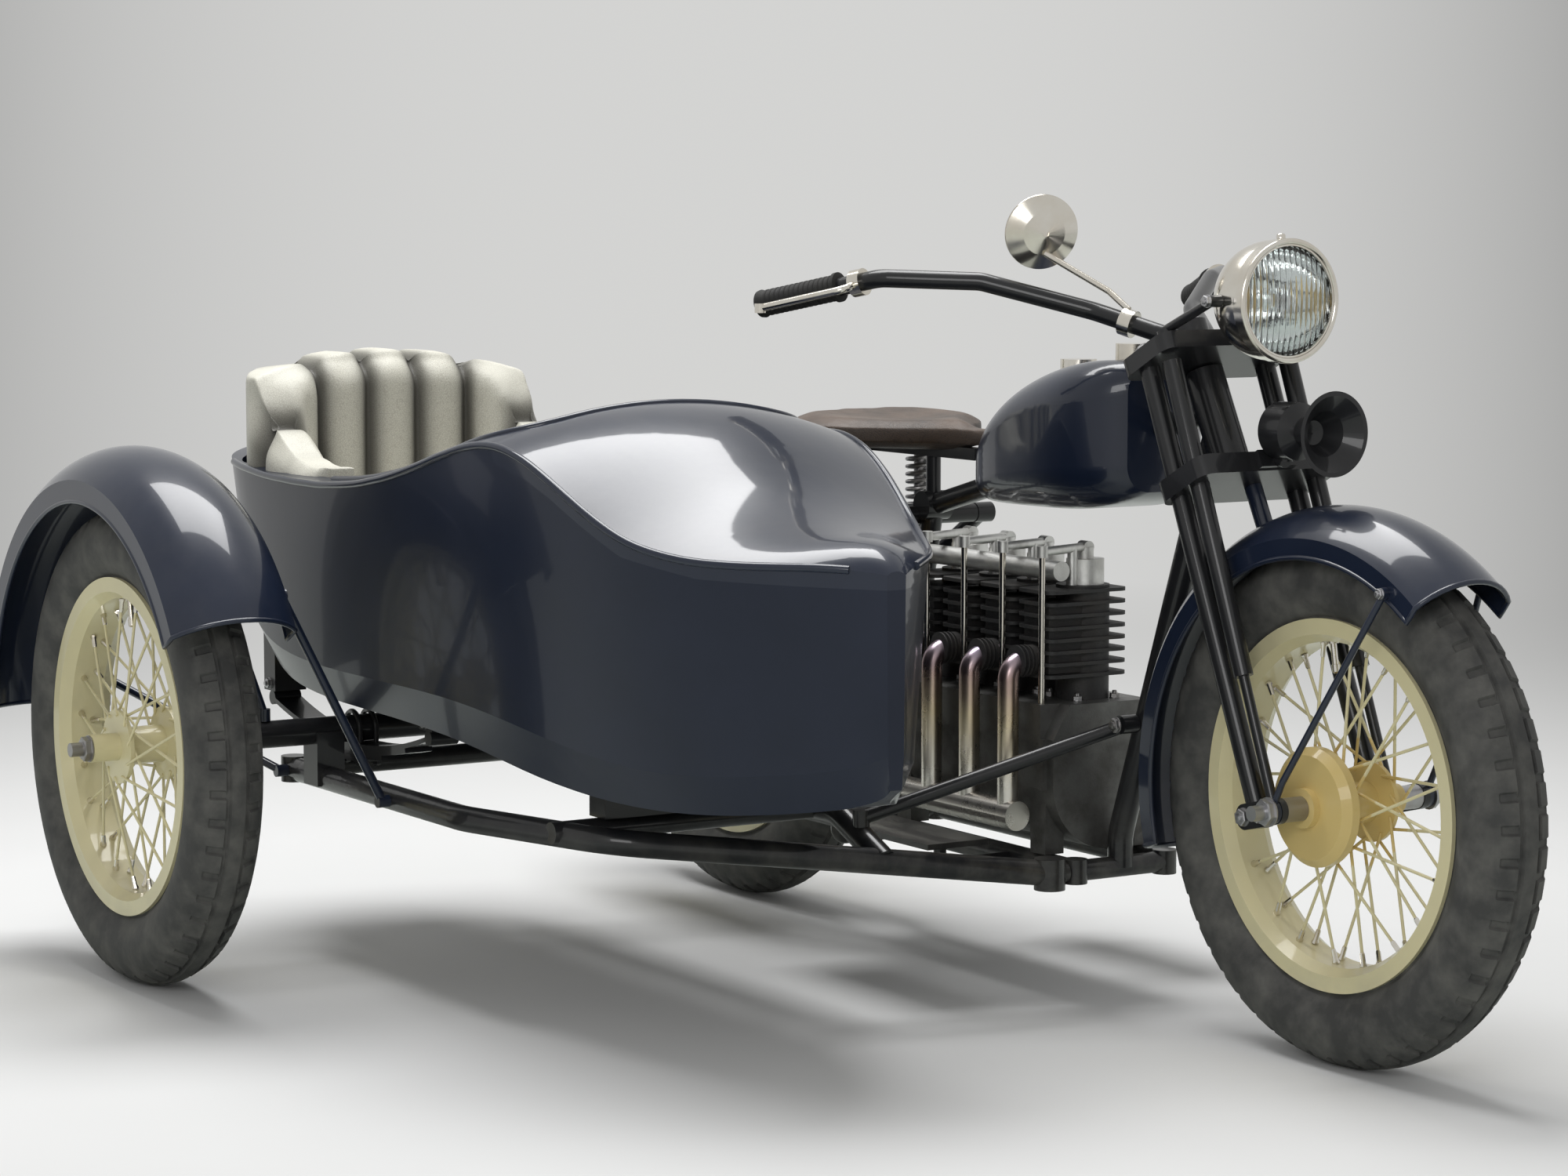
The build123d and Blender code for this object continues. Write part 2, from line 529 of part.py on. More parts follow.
# Engine: crankcase, barrels, valve gear, inlet and exhaust
CASE_X = (-195.0, 232.0)
CASE_TOP = 420.0
PITCH = 96.0
BORES = [20 + PITCH * (count - 1.5) for count in range(4)]
case_edges = [
    Line((-70, CASE_TOP), (70, CASE_TOP)),
    Line((70, CASE_TOP), (98, 372)),
    Line((98, 372), (98, 300)),
    ThreePointArc((98, 300), (0, 212), (-98, 300)),
    Line((-98, 300), (-98, 372)),
    Line((-98, 372), (-70, CASE_TOP)),
]
case_face = Plane(origin=(CASE_X[0], 0, 0), x_dir=(0, 1, 0), z_dir=(1, 0, 0)) * make_face(case_edges)
case = extrude(case_face, CASE_X[1] - CASE_X[0]).solid()
case_feet = []
for x in (-150, 190):
    for side in (-1, 1):
        low, high = sorted((side * 62, side * 94))
        case_feet.append(block((x - 18, x + 18), (low, high), (RAIL_Z + TUBE_R + SEAT, 300)))
case_ribs = [block((x - 5, x + 5), (-106, 106), (300, 372)) for x in
             [BORES[0] - PITCH / 2, BORES[1] - PITCH / 2, BORES[2] - PITCH / 2, BORES[3] - PITCH / 2,
              BORES[3] + PITCH / 2]]
ledge = block((BORES[0] - 40, BORES[3] + 44), (-104, -60), (366, CASE_TOP))
NODES["crankcase"] = [case.fuse(ledge, *case_feet, *case_ribs)]

FIN_X = 42.0
FIN_Y = (-88.0, 52.0)
HEAD_TOP = 582.0
barrels = []
for x in BORES:
    core = bar((x, 0, CASE_TOP), (x, 0, HEAD_TOP), 38)
    chest = block((x - 30, x + 30), (-80, -20), (CASE_TOP + 40, HEAD_TOP - 22))
    fins = []
    for count in range(8):
        z = CASE_TOP + 34 + count * 17
        outline = Pos(x, (FIN_Y[0] + FIN_Y[1]) / 2) * RectangleRounded(2 * FIN_X, FIN_Y[1] - FIN_Y[0], 16)
        fins.append(extrude(Pos(0, 0, z) * outline, 5).solid())
    port = bar((x, -70, 478), (x, -96, 478), 22)
    barrels.append(core.fuse(chest, port, *fins))
NODES["cylinders"] = barrels

TAPPET_Y = -94.0
TAPPET_X = 32.0
ROCKER_Z = HEAD_TOP + 52
gear = []
for x in BORES:
    cage = bar((x, 4, HEAD_TOP), (x, 4, HEAD_TOP + 36), 27)
    cap = bar((x, 4, HEAD_TOP + 36), (x, 4, ROCKER_Z), 12)
    arm = bar((x + TAPPET_X, TAPPET_Y, ROCKER_Z), (x, 4, ROCKER_Z), 6.5)
    post = bar((x + 10, -26, HEAD_TOP), (x + 10, -26, ROCKER_Z), 7)
    gear.append(cage.fuse(cap, arm, post, boss((x + TAPPET_X, TAPPET_Y, ROCKER_Z), UPRIGHT, 8),
                         boss((x, 4, ROCKER_Z), ALONG, 9)))
NODES["valve_cages"] = gear
rod_top = ROCKER_Z - 8 - SEAT
NODES["pushrods"] = [bar((x + TAPPET_X, TAPPET_Y, CASE_TOP), (x + TAPPET_X, TAPPET_Y, rod_top), 4.5)
                     for x in BORES]

LOG_Y = -56.0
LOG_Z = HEAD_TOP + 22
LOG_END = BORES[0] - 48
log = bar((LOG_END, LOG_Y, LOG_Z), (BORES[3] + 26, LOG_Y, LOG_Z), 14)
stubs = [bar((x - 10, LOG_Y, LOG_Z), (x - 10, -10, LOG_Z), 9).cut(bar((x, 4, 500), (x, 4, 700), 27 + SEAT))
         for x in BORES]
NODES["inlet_manifold"] = [log.fuse(*stubs)]
CARB_X = LOG_END - 42
carb = join(bar((CARB_X, LOG_Y, LOG_Z - 62), (CARB_X, LOG_Y, LOG_Z + 34), 23),
            bar((CARB_X, LOG_Y, LOG_Z), (LOG_END, LOG_Y, LOG_Z), 18),
            bar((CARB_X, LOG_Y - 42, LOG_Z - 58), (CARB_X, LOG_Y - 42, LOG_Z - 6), 20),
            bar((CARB_X, LOG_Y, LOG_Z - 40), (CARB_X, LOG_Y - 42, LOG_Z - 40), 10))
NODES["carburettor"] = [carb]

PIPE_Y = -128.0
PIPE_Z = 262.0
TAIL_Y = -174.0
TAIL_Z = 245.0
down_pipes = [rod([(x, -96, 478), (x, PIPE_Y, 478), (x, PIPE_Y, PIPE_Z)], 15, 26) for x in BORES]
collector = rod([(BORES[3] + 24, PIPE_Y, PIPE_Z), (-230, PIPE_Y, PIPE_Z), (-390, TAIL_Y, TAIL_Z),
                 (-450, TAIL_Y, TAIL_Z)], 21, 90)
NODES["exhaust_pipes"] = [join(collector, *down_pipes)]
muffler = [(0, -450), (24, -450), (42, -490), (42, -790), (24, -840), (20, -840), (20, -920), (16, -920),
           (16, -830), (0, -826)]
NODES["silencer"] = [Pos(0, TAIL_Y, TAIL_Z) * turned_x(muffler)]

# Gearbox and chain
BOX_X = (-338.0, CASE_X[0])
BOX_HALF = RAIL_Y - TUBE_R - LUG_SWELL - 4
SHAFT_X = -272.0
SHAFT_Z = 300.0
PINION_R = 42.0
gearbox = join(block(BOX_X, (-BOX_HALF, BOX_HALF), (RAIL_Z + TUBE_R + SEAT, 372)),
               bar((SHAFT_X, 40, SHAFT_Z), (SHAFT_X, SPROCKET_Y + 12, SHAFT_Z), 16),
               bar((SHAFT_X, SPROCKET_Y - 4, SHAFT_Z), (SHAFT_X, SPROCKET_Y + 4, SHAFT_Z), PINION_R))
seat_slot = bar((SEAT_LUG[0], 0, SEAT_LUG[2]), (BACK_LUG[0], 0, BACK_LUG[2]), TUBE_R + SEAT)
back_slot = bar((BACK_LUG[0], -RAIL_Y, RAIL_Z), (BACK_LUG[0], RAIL_Y, RAIL_Z), TUBE_R + SEAT)
NODES["gearbox"] = [gearbox.cut(seat_slot, back_slot)]

# The chain is a fixed loop around both sprockets
CHAIN_GAP = 0.5
CHAIN_THICK = 11.0
CHAIN_HALF = 5.0


def loop(small_r, big_r):
    """The band outline around two wheels of the chain line, as a face in XZ."""
    small = Vector(SHAFT_X, 0, SHAFT_Z)
    big = Vector(REAR_X, 0, AXLE_Z)
    reach = big - small
    away = reach.normalized()
    across = Vector(-away.Z, 0, away.X)
    lean = (small_r - big_r) / reach.length
    flat = (1 - lean * lean) ** 0.5
    tangents = []
    for side in (1, -1):
        normal = away * lean + across * (side * flat)
        tangents.append((small + normal * small_r, big + normal * big_r))
    (small_up, big_up), (small_low, big_low) = tangents
    edges = [
        Line(small_up, big_up),
        ThreePointArc(big_up, big + away * big_r, big_low),
        Line(big_low, small_low),
        ThreePointArc(small_low, small - away * small_r, small_up),
    ]
    return make_face(edges)


inner_small = PINION_R + CHAIN_GAP
inner_big = SPROCKET_R + CHAIN_GAP
chain_outer = extrude(loop(inner_small + CHAIN_THICK, inner_big + CHAIN_THICK), 2 * CHAIN_HALF, dir=(0, 1, 0))
chain_inner = extrude(loop(inner_small, inner_big), 2 * CHAIN_HALF, dir=(0, 1, 0))
NODES["drive_chain"] = [Pos(0, SPROCKET_Y - CHAIN_HALF, 0) * (chain_outer.solid().cut(chain_inner.solid()))]

# Fuel tank: one row for each section: x, half width, bottom, top, corner radius
TANK = [
    (-44.0, 40.0, 694.0, 750.0, 24.0),
    (60.0, 88.0, 690.0, 838.0, 44.0),
    (220.0, 108.0, 694.0, 896.0, 58.0),
    (312.0, 92.0, 708.0, 904.0, 52.0),
    (346.0, 60.0, 724.0, 898.0, 38.0),
]
sections = []
for x, half, low, high, corner in TANK:
    plane = Plane(origin=(x, 0, (low + high) / 2), x_dir=(0, 1, 0), z_dir=(1, 0, 0))
    sections.append(plane * RectangleRounded(2 * half, high - low, corner))
tank = loft(sections).solid()
tunnel = bar(top_start, SEAT_LUG, TUBE_R + SEAT)
NODES["fuel_tank"] = [tank.cut(tunnel)]
CAP_R = 26.0
caps = []
cap_tops = {150: (TANK[1][3] + TANK[2][3]) / 2 + 33, 280: TANK[3][3] + 22}
for x, top in cap_tops.items():
    column = bar((x, 0, TANK[1][3] - 30), (x, 0, top), CAP_R)
    caps.append(column.cut(tank))
NODES["filler_caps"] = [max(solids(Compound([c]) if isinstance(c, Solid) else c), key=lambda s: s.center().Z)
                        for c in caps]

# Saddle on its post and coil springs
SADDLE_Z = 760.0
saddle_edges = [
    Line((-40, 16), (-40, -16)),
    ThreePointArc((-40, -16), (-150, -34), (-250, -105)),
    ThreePointArc((-250, -105), (-345, -158), (-430, -110)),
    ThreePointArc((-430, -110), (-446, 0), (-430, 110)),
    ThreePointArc((-430, 110), (-345, 158), (-250, 105)),
    ThreePointArc((-250, 105), (-150, 34), (-40, 16)),
]
saddle = extrude(Pos(0, 0, SADDLE_Z) * make_face(saddle_edges), 34).solid()
NODES["saddle"] = [saddle]
saddle_bar = join(block((-400, -90), (-12, 12), (POST_TOP + SEAT, SADDLE_Z - SEAT)),
                  block((-392, -368), (-96, 96), (POST_TOP + SEAT, SADDLE_Z - SEAT)))
NODES["saddle_frame"] = [saddle_bar]
springs = []
for side in (-1, 1):
    y = side * SPRING_Y
    column = bar((SPRING_X, y, SPRING_FOOT), (SPRING_X, y, POST_TOP), 10)
    coils = []
    for count in range(7):
        z = SPRING_FOOT + 6 + 13 * count
        coils.append(bar((SPRING_X, y, z), (SPRING_X, y, z + 7), 22))
    springs.append(column.fuse(*coils))
NODES["saddle_springs"] = springs

# Footboards: boards on cranked brackets from the lower rails
BOARD_X = (-190.0, 165.0)
BOARD_IN = 162.0
BOARD_OUT = 264.0
BOARD_TOP = 230.0
BOARD_T = 8.0
BOARD_MIDDLE = (BOARD_X[0] + BOARD_X[1]) / 2
BOARD_Y = (BOARD_IN + BOARD_OUT) / 2
boards = []
for side in (-1, 1):
    low, high = sorted((side * BOARD_IN, side * BOARD_OUT))
    board = block(BOARD_X, (low, high), (BOARD_TOP - BOARD_T, BOARD_TOP))
    arms = []
    for x in (BOARD_X[0] + 40, BOARD_X[1] - 45):
        arms.append(rod([(x, side * (RAIL_Y + TUBE_R + SEAT), RAIL_Z), (x, side * BOARD_Y, RAIL_Z),
                         (x, side * BOARD_Y, BOARD_TOP - BOARD_T / 2)], 9, 16))
    boards.append(board.fuse(*arms))
NODES["footboards"] = boards

# Tail lamp on the rear mudguard
tail = Vector(REAR_X, 0, AXLE_Z) + polar(REAR_GUARD_R, 152, 0)
lamp_tail = join(bar((tail.X - 8, 0, tail.Z + 22), (tail.X - 60, 0, tail.Z + 22), 30),
                 bar((tail.X + 10, 0, tail.Z - 20), (tail.X - 20, 0, tail.Z + 20), 12))
NODES["tail_lamp"] = [lamp_tail.cut(guard_room)]

# Sidecar chassis. The body's middle lies a little outside halfway to the sidecar's wheel, the inner rail
# clears the footboard, and the outer rail runs under the body's side
BODY_OFFSET = 39.5
RAIL_CLEAR = 101.0
RAIL_REACH = 235.0
BODY_Y = SIDE_Y / 2 - BODY_OFFSET
RAIL_IN = -BOARD_OUT - RAIL_CLEAR
RAIL_OUT = BODY_Y - RAIL_REACH
CHASSIS_Z = 275.0
CHASSIS_R = 18.0
CHASSIS_BACK = -690.0
SIDE_TUBE_R = 20.0
outer_rail = rod([(DOWN_FOOT[0], -118, RAIL_Z), (120, BODY_Y - 140, CHASSIS_Z - 6),
                  (-130, RAIL_OUT, CHASSIS_Z), (CHASSIS_BACK, RAIL_OUT, CHASSIS_Z)], CHASSIS_R, 110)
INNER_POINTS = [(210, RAIL_IN, 222), (90, RAIL_IN, CHASSIS_Z), (CHASSIS_BACK, RAIL_IN, CHASSIS_Z)]
inner_rail = rod(INNER_POINTS, CHASSIS_R, 60)
chassis_bars = [
    bar((DOWN_FOOT[0], -RAIL_Y - TUBE_R - LUG_SWELL - SEAT, RAIL_Z), (DOWN_FOOT[0], -132, RAIL_Z), 14),
    boss((DOWN_FOOT[0], -122, RAIL_Z), UPRIGHT, 22),
    bar((CHASSIS_BACK, RAIL_IN, CHASSIS_Z), (CHASSIS_BACK, RAIL_OUT, CHASSIS_Z), CHASSIS_R - 2),
    boss((CHASSIS_BACK, RAIL_IN, CHASSIS_Z), UPRIGHT, CHASSIS_R + LUG_SWELL),
    boss((CHASSIS_BACK, RAIL_OUT, CHASSIS_Z), UPRIGHT, CHASSIS_R + LUG_SWELL),
    bar((40, RAIL_IN, CHASSIS_Z), (40, BODY_Y - 192, CHASSIS_Z), CHASSIS_R - 3),
    bar((SIDE_X, -STAY_Y - SEAT, AXLE_Z), (SIDE_X, SIDE_Y + 88, AXLE_Z), SIDE_TUBE_R),
    block((SIDE_X - 24, SIDE_X + 24), (RAIL_IN - 22, RAIL_IN + 22), (CHASSIS_Z - 10, AXLE_Z)),
    block((SIDE_X - 24, SIDE_X + 24), (RAIL_OUT - 22, RAIL_OUT + 22), (CHASSIS_Z - 10, AXLE_Z)),
]
NODES["sidecar_chassis"] = [outer_rail.fuse(inner_rail, *chassis_bars)]
side_plate = block((SIDE_X - 18, SIDE_X + 18), (-STAY_Y, -STAY_Y + 14), (272, 452))
frame = frame.fuse(side_plate)

SIDE_NUT = SIDE_Y - HUB_HALF - 0.5
SIDE_END = SIDE_NUT - NUT_T - FREE_END
SIDE_ROOT = SIDE_Y + 88 - SEAT
side_axle = join(bar((SIDE_X, SIDE_ROOT, AXLE_Z), (SIDE_X, SIDE_END, AXLE_Z), AXLE_R),
                 bar((SIDE_X, SIDE_ROOT, AXLE_Z), (SIDE_X, SIDE_Y + HUB_HALF + 0.5, AXLE_Z), 18),
                 bar((SIDE_X, SIDE_NUT, AXLE_Z), (SIDE_X, SIDE_NUT - NUT_T, AXLE_Z), NUT_R))
NODES["sidecar_axle"] = [side_axle]

# Struts that hold the chassis upright against the motorcycle
strut_foot = Vector(SIDE_X, BODY_Y + 308, AXLE_Z + SIDE_TUBE_R + SEAT + 12)
strut_head = Vector(SEAT_LUG[0] - 20, -STAY_Y + 10 - TUBE_R + 2 - LUG_SWELL - SEAT - 12, SEAT_LUG[2] - 16)
rear_strut = join(bar(strut_foot, strut_head, 10), boss(strut_foot, UPRIGHT, 12),
                  boss(strut_head, ACROSS, 12))
down_share = (400 - DOWN_FOOT[2]) / (down_start.Z - DOWN_FOOT[2])
down_at = Vector(DOWN_FOOT[0] + (down_start.X - DOWN_FOOT[0]) * down_share, 0, 400)
front_head = Vector(down_at.X - 4, -TUBE_R - 2 - SEAT - 13, 400)
front_foot = Vector(150, RAIL_IN, 256 + CHASSIS_R)
front_strut = join(bar(front_foot, front_head, 10), boss(front_foot, UPRIGHT, 12),
                   boss(front_head, ACROSS, 13))
NODES["sidecar_struts"] = [rear_strut, front_strut.cut(rod(INNER_POINTS, CHASSIS_R + SEAT, 60))]

# Leaf springs slung under the axle tube
LEAF_T = 7.0
LEAF_R = 900.0
LEAF_HALF = 22.0
LEAF_Y = (RAIL_IN - 60, RAIL_OUT + 60)
LEAF_ANGLES = (17.2, 12.2, 7.2)
leaf_centre = AXLE_Z - SIDE_TUBE_R - SEAT + LEAF_R


def arc_point(radius, angle):
    return Vector(SIDE_X + radius * sin(radians(angle)), 0, leaf_centre - radius * cos(radians(angle)))


def leaf(row, angle):
    inside = LEAF_R + row * LEAF_T
    outside = inside + LEAF_T
    edges = [
        ThreePointArc(arc_point(inside, -angle), arc_point(inside, 0), arc_point(inside, angle)),
        Line(arc_point(inside, angle), arc_point(outside, angle)),
        ThreePointArc(arc_point(outside, angle), arc_point(outside, 0), arc_point(outside, -angle)),
        Line(arc_point(outside, -angle), arc_point(inside, -angle)),
    ]
    return extrude(make_face(edges), 2 * LEAF_HALF, dir=(0, 1, 0)).solid()


leaf_eyes = [arc_point(LEAF_R + LEAF_T / 2, side * LEAF_ANGLES[0]) for side in (-1, 1)]
leaves = [leaf(row, angle) for row, angle in enumerate(LEAF_ANGLES)]
leaves += [bar((p.X, 0, p.Z), (p.X, 2 * LEAF_HALF, p.Z), 11) for p in leaf_eyes]
spring = leaves[0].fuse(*leaves[1:])
NODES["sidecar_springs"] = [Pos(0, y - LEAF_HALF, 0) * spring for y in LEAF_Y]

# Sidecar body. One row for each section: x, half width and height of the gunwale, rise of the deck's crown,
# half width and height of the bottom
WALL = 14.0
HULL = [
    (-985.0, 165.0, 742.0, 10.0, 116.0, 566.0),
    (-900.0, 236.0, 728.0, 22.0, 184.0, 490.0),
    (-780.0, 258.0, 719.0, 26.0, 216.0, 424.0),
    (-640.0, 268.0, 714.0, 30.0, 232.0, 400.0),
    (-400.0, 273.0, 722.0, 38.0, 236.0, 392.0),
    (-270.0, 274.0, 742.0, 44.0, 234.0, 388.0),
    (-120.0, 273.0, 778.0, 48.0, 226.0, 376.0),
    (40.0, 270.0, 800.0, 50.0, 212.0, 354.0),
    (160.0, 258.0, 762.0, 58.0, 190.0, 340.0),
    (290.0, 226.0, 694.0, 60.0, 160.0, 336.0),
    (480.0, 122.0, 668.0, 34.0, 74.0, 352.0),
    (592.0, 14.0, 660.0, 5.0, 9.0, 390.0),
]


def hull_section(x, half, gunwale, crown_rise, floor_half, floor, inset):
    """One cross section: flat floor, chamfered bilge, flat side, crowned deck."""
    half = half - inset
    floor_half = floor_half - inset
    low = floor + inset
    top = gunwale - inset
    bilge = 0.16 * (top - low)
    lean = floor_half + 0.55 * (half - floor_half)
    edges = [
        Line((-floor_half, low), (floor_half, low)),
        Line((floor_half, low), (lean, low + bilge)),
        Line((lean, low + bilge), (half, top)),
        ThreePointArc((half, top), (0, top + crown_rise), (-half, top)),
        Line((-half, top), (-lean, low + bilge)),
        Line((-lean, low + bilge), (-floor_half, low)),
    ]
    return Plane(origin=(x, BODY_Y, 0), x_dir=(0, 1, 0), z_dir=(1, 0, 0)) * make_face(edges)


outer_hull = loft([hull_section(*row, 0) for row in HULL]).solid()
inner_rows = [list(row) for row in HULL]
inner_rows[0][0] += WALL
inner_rows[-1] = [545.0, 62.0, 664.0, 14.0, 38.0, 368.0]
inner_hull = loft([hull_section(*row, WALL) for row in inner_rows]).solid()
lining = loft([hull_section(*row, WALL + SEAT) for row in inner_rows]).solid()
shell = outer_hull.cut(inner_hull)
COCKPIT_X = (-925.0, 28.0)
COCKPIT_HALF = 238.0
COCKPIT_CORNER = 84.0
cockpit_plan = Pos((COCKPIT_X[0] + COCKPIT_X[1]) / 2, BODY_Y) * RectangleRounded(
    COCKPIT_X[1] - COCKPIT_X[0], 2 * COCKPIT_HALF, COCKPIT_CORNER)
cockpit = extrude(Pos(0, 0, 660) * cockpit_plan, 300).solid()
shell = shell.cut(cockpit)
# The deck panel lies above a line that follows the gunwale from the scuttle to the prow
DECK_LINE = [(28.0, 776.0), (110.0, 758.0), (160.0, 738.0), (290.0, 670.0), (400.0, 648.0), (640.0, 640.0)]
deck_edges = Polyline(*[(x, 0, z) for x, z in DECK_LINE], (640, 0, 1000), (28, 0, 1000), close=True)
above = Pos(0, BODY_Y - 400, 0) * extrude(make_face(deck_edges), 800, dir=(0, 1, 0)).solid()
NODES["sidecar_deck"] = [max(solids(shell.intersect(above)), key=lambda s: s.volume)]
NODES["sidecar_hull"] = [max(solids(shell.cut(above)), key=lambda s: s.volume)]

# Brackets between the springs, the front cross tube and the hull
brackets = []
for y in LEAF_Y:
    for p in leaf_eyes:
        brackets.append(block((p.X - 20, p.X + 20), (y - 26, y + 26), (p.Z + 11 + SEAT, 600)).cut(outer_hull))
cross_top = CHASSIS_Z + CHASSIS_R - 3 + SEAT
brackets.append(block((18, 62), (BODY_Y - 120, BODY_Y + 120), (cross_top, 420)).cut(outer_hull))
NODES["sidecar_brackets"] = [min(solids(b), key=lambda s: s.center().Z) for b in brackets]

# Seat cushion and wrap-round back
CUSHION_TOP = 640.0
CUSHION_FRONT = -290.0
BACK_HALF = 236.0
BACK_ARM = 60.0
BACK_THICK = 96.0
BACK_X = COCKPIT_X[0] + 4
BACK_CORNER = COCKPIT_CORNER - 2
IN_CORNER = 62.0
BACK_TOP = 898.0
BACK_FALL = 46.0
ARM_FRONT = -560.0
ARM_TOP = 742.0
SEAT_LOW = 380.0
ARM_IN = BACK_HALF - BACK_ARM
CUSHION_HALF = ARM_IN - 2


def bow(half, back, corner, front):
    """A line like a U, open to the front: one arm, a rounded corner, the back, a corner and the other arm."""
    knee = back + corner
    short = corner * (1 - cos(radians(45)))
    return [
        Line((front, -half), (knee, -half)),
        ThreePointArc((knee, -half), (back + short, -half + short), (back, -half + corner)),
        Line((back, -half + corner), (back, half - corner)),
        ThreePointArc((back, half - corner), (back + short, half - short), (knee, half)),
        Line((knee, half), (front, half)),
    ]


BACK_FRONT = BACK_X + BACK_THICK
cushion_edges = bow(CUSHION_HALF, BACK_FRONT + 2, IN_CORNER - 2, CUSHION_FRONT)
cushion_edges.append(Line((CUSHION_FRONT, CUSHION_HALF), (CUSHION_FRONT, -CUSHION_HALF)))
cushion = extrude(Pos(0, BODY_Y, SEAT_LOW) * make_face(cushion_edges), CUSHION_TOP - SEAT_LOW).solid()
NODES["seat_cushion"] = [cushion.intersect(lining)]
back_edges = bow(BACK_HALF, BACK_X, BACK_CORNER, ARM_FRONT) + bow(ARM_IN, BACK_FRONT, IN_CORNER, ARM_FRONT)
for side in (-1, 1):
    back_edges.append(Line((ARM_FRONT, side * ARM_IN), (ARM_FRONT, side * BACK_HALF)))
back_low = extrude(Pos(0, BODY_Y, SEAT_LOW) * make_face(back_edges), 680 - SEAT_LOW).solid().intersect(lining)
back_high = extrude(Pos(0, BODY_Y, 660) * make_face(back_edges), BACK_TOP - 660).solid()
# Its top is crowned across and falls along the arms
fall_edges = [
    Line((BACK_X - 20, 600), (BACK_X - 20, BACK_TOP + 10)),
    Line((BACK_X - 20, BACK_TOP + 10), (BACK_FRONT - 20, BACK_TOP + 10)),
    ThreePointArc((BACK_FRONT - 20, BACK_TOP + 10), (BACK_FRONT + 60, 800), (ARM_FRONT + 10, ARM_TOP)),
    Line((ARM_FRONT + 10, ARM_TOP), (ARM_FRONT + 10, 600)),
    Line((ARM_FRONT + 10, 600), (BACK_X - 20, 600)),
]
fall_plane = Plane(origin=(0, BODY_Y + BACK_HALF + 20, 0), x_dir=(1, 0, 0), z_dir=(0, -1, 0))
fall = extrude(fall_plane * make_face(fall_edges), 2 * BACK_HALF + 40).solid()
crest_half = BACK_HALF + 20
crest_edges = [
    ThreePointArc((-crest_half, BACK_TOP - BACK_FALL), (0, BACK_TOP), (crest_half, BACK_TOP - BACK_FALL)),
    Line((crest_half, BACK_TOP - BACK_FALL), (crest_half, 600)),
    Line((crest_half, 600), (-crest_half, 600)),
    Line((-crest_half, 600), (-crest_half, BACK_TOP - BACK_FALL)),
]
crest_plane = Plane(origin=(BACK_X - 20, BODY_Y, 0), x_dir=(0, 1, 0), z_dir=(1, 0, 0))
crest = extrude(crest_plane * make_face(crest_edges), ARM_FRONT - BACK_X + 40).solid()
back_high = back_high.intersect(fall).solid().intersect(crest).solid()
NODES["seat_back"] = [back_high.fuse(*solids(back_low))]

# Sidecar mudguard on three stays
SIDE_GUARD_R = 430.0
SIDE_GUARD_HALF = 92.0
side_guard = Pos(SIDE_X, SIDE_Y, AXLE_Z) * guard(SIDE_GUARD_R, SIDE_GUARD_HALF, 46, 352, 30, 178)
stay_parts = []
for angle, foot_x in ((40, -330), (172, -676)):
    top_point = Vector(SIDE_X, SIDE_Y, AXLE_Z) + polar(364, angle, SIDE_GUARD_HALF + 2)
    foot_point = Vector(foot_x, RAIL_OUT - CHASSIS_R - SEAT - 9, CHASSIS_Z)
    stay_parts += [bar(top_point, foot_point, 6.5), boss(foot_point, ACROSS, 9), pad(top_point, 10)]
top_point = Vector(SIDE_X, SIDE_Y, AXLE_Z) + polar(364, 98, SIDE_GUARD_HALF + 2)
foot_point = Vector(SIDE_X, BODY_Y - 330, AXLE_Z + SIDE_TUBE_R + SEAT + 9)
stay_parts += [bar(top_point, foot_point, 6.5), boss(foot_point, UPRIGHT, 9), pad(top_point, 10)]
NODES["sidecar_mudguard"] = [side_guard.fuse(*stay_parts)]

NODES["frame"] = [frame]

# One file for each node, moved so that the origin lies under the middle of the whole box
everything = Compound([piece for pieces in NODES.values() for shape in pieces for piece in solids(shape)])
box = everything.bounding_box()
MOVE = Vector(-(box.min.X + box.max.X) / 2, -(box.min.Y + box.max.Y) / 2, -box.min.Z)

if __name__ == "__main__":
    os.makedirs("parts", exist_ok=True)
    for name, pieces in NODES.items():
        moved = [Pos(MOVE) * piece for shape in pieces for piece in solids(shape)]
        export_step(moved[0] if len(moved) == 1 else Compound(moved), f"parts/{name}.step")
        print(f"{name:18s} {len(moved):3d} solid(s)")
    print("box", box.size, "move", MOVE)
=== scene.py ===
"""A motorcycle and sidecar from the nineteen-twenties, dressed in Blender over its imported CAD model."""

# %% [markdown]
# The CAD model brings every rigid piece in its place, in metres. This lesson dresses it: it gives each piece
# a finish made of nodes, and makes what solids do badly, such as tread, leather, coils, chain links and nuts.
# The cells run in order, and each prints what it made.

# %% Load the model
import json
import math

import bmesh
import bpy
import numpy as np
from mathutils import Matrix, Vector
from mathutils.bvhtree import BVHTree

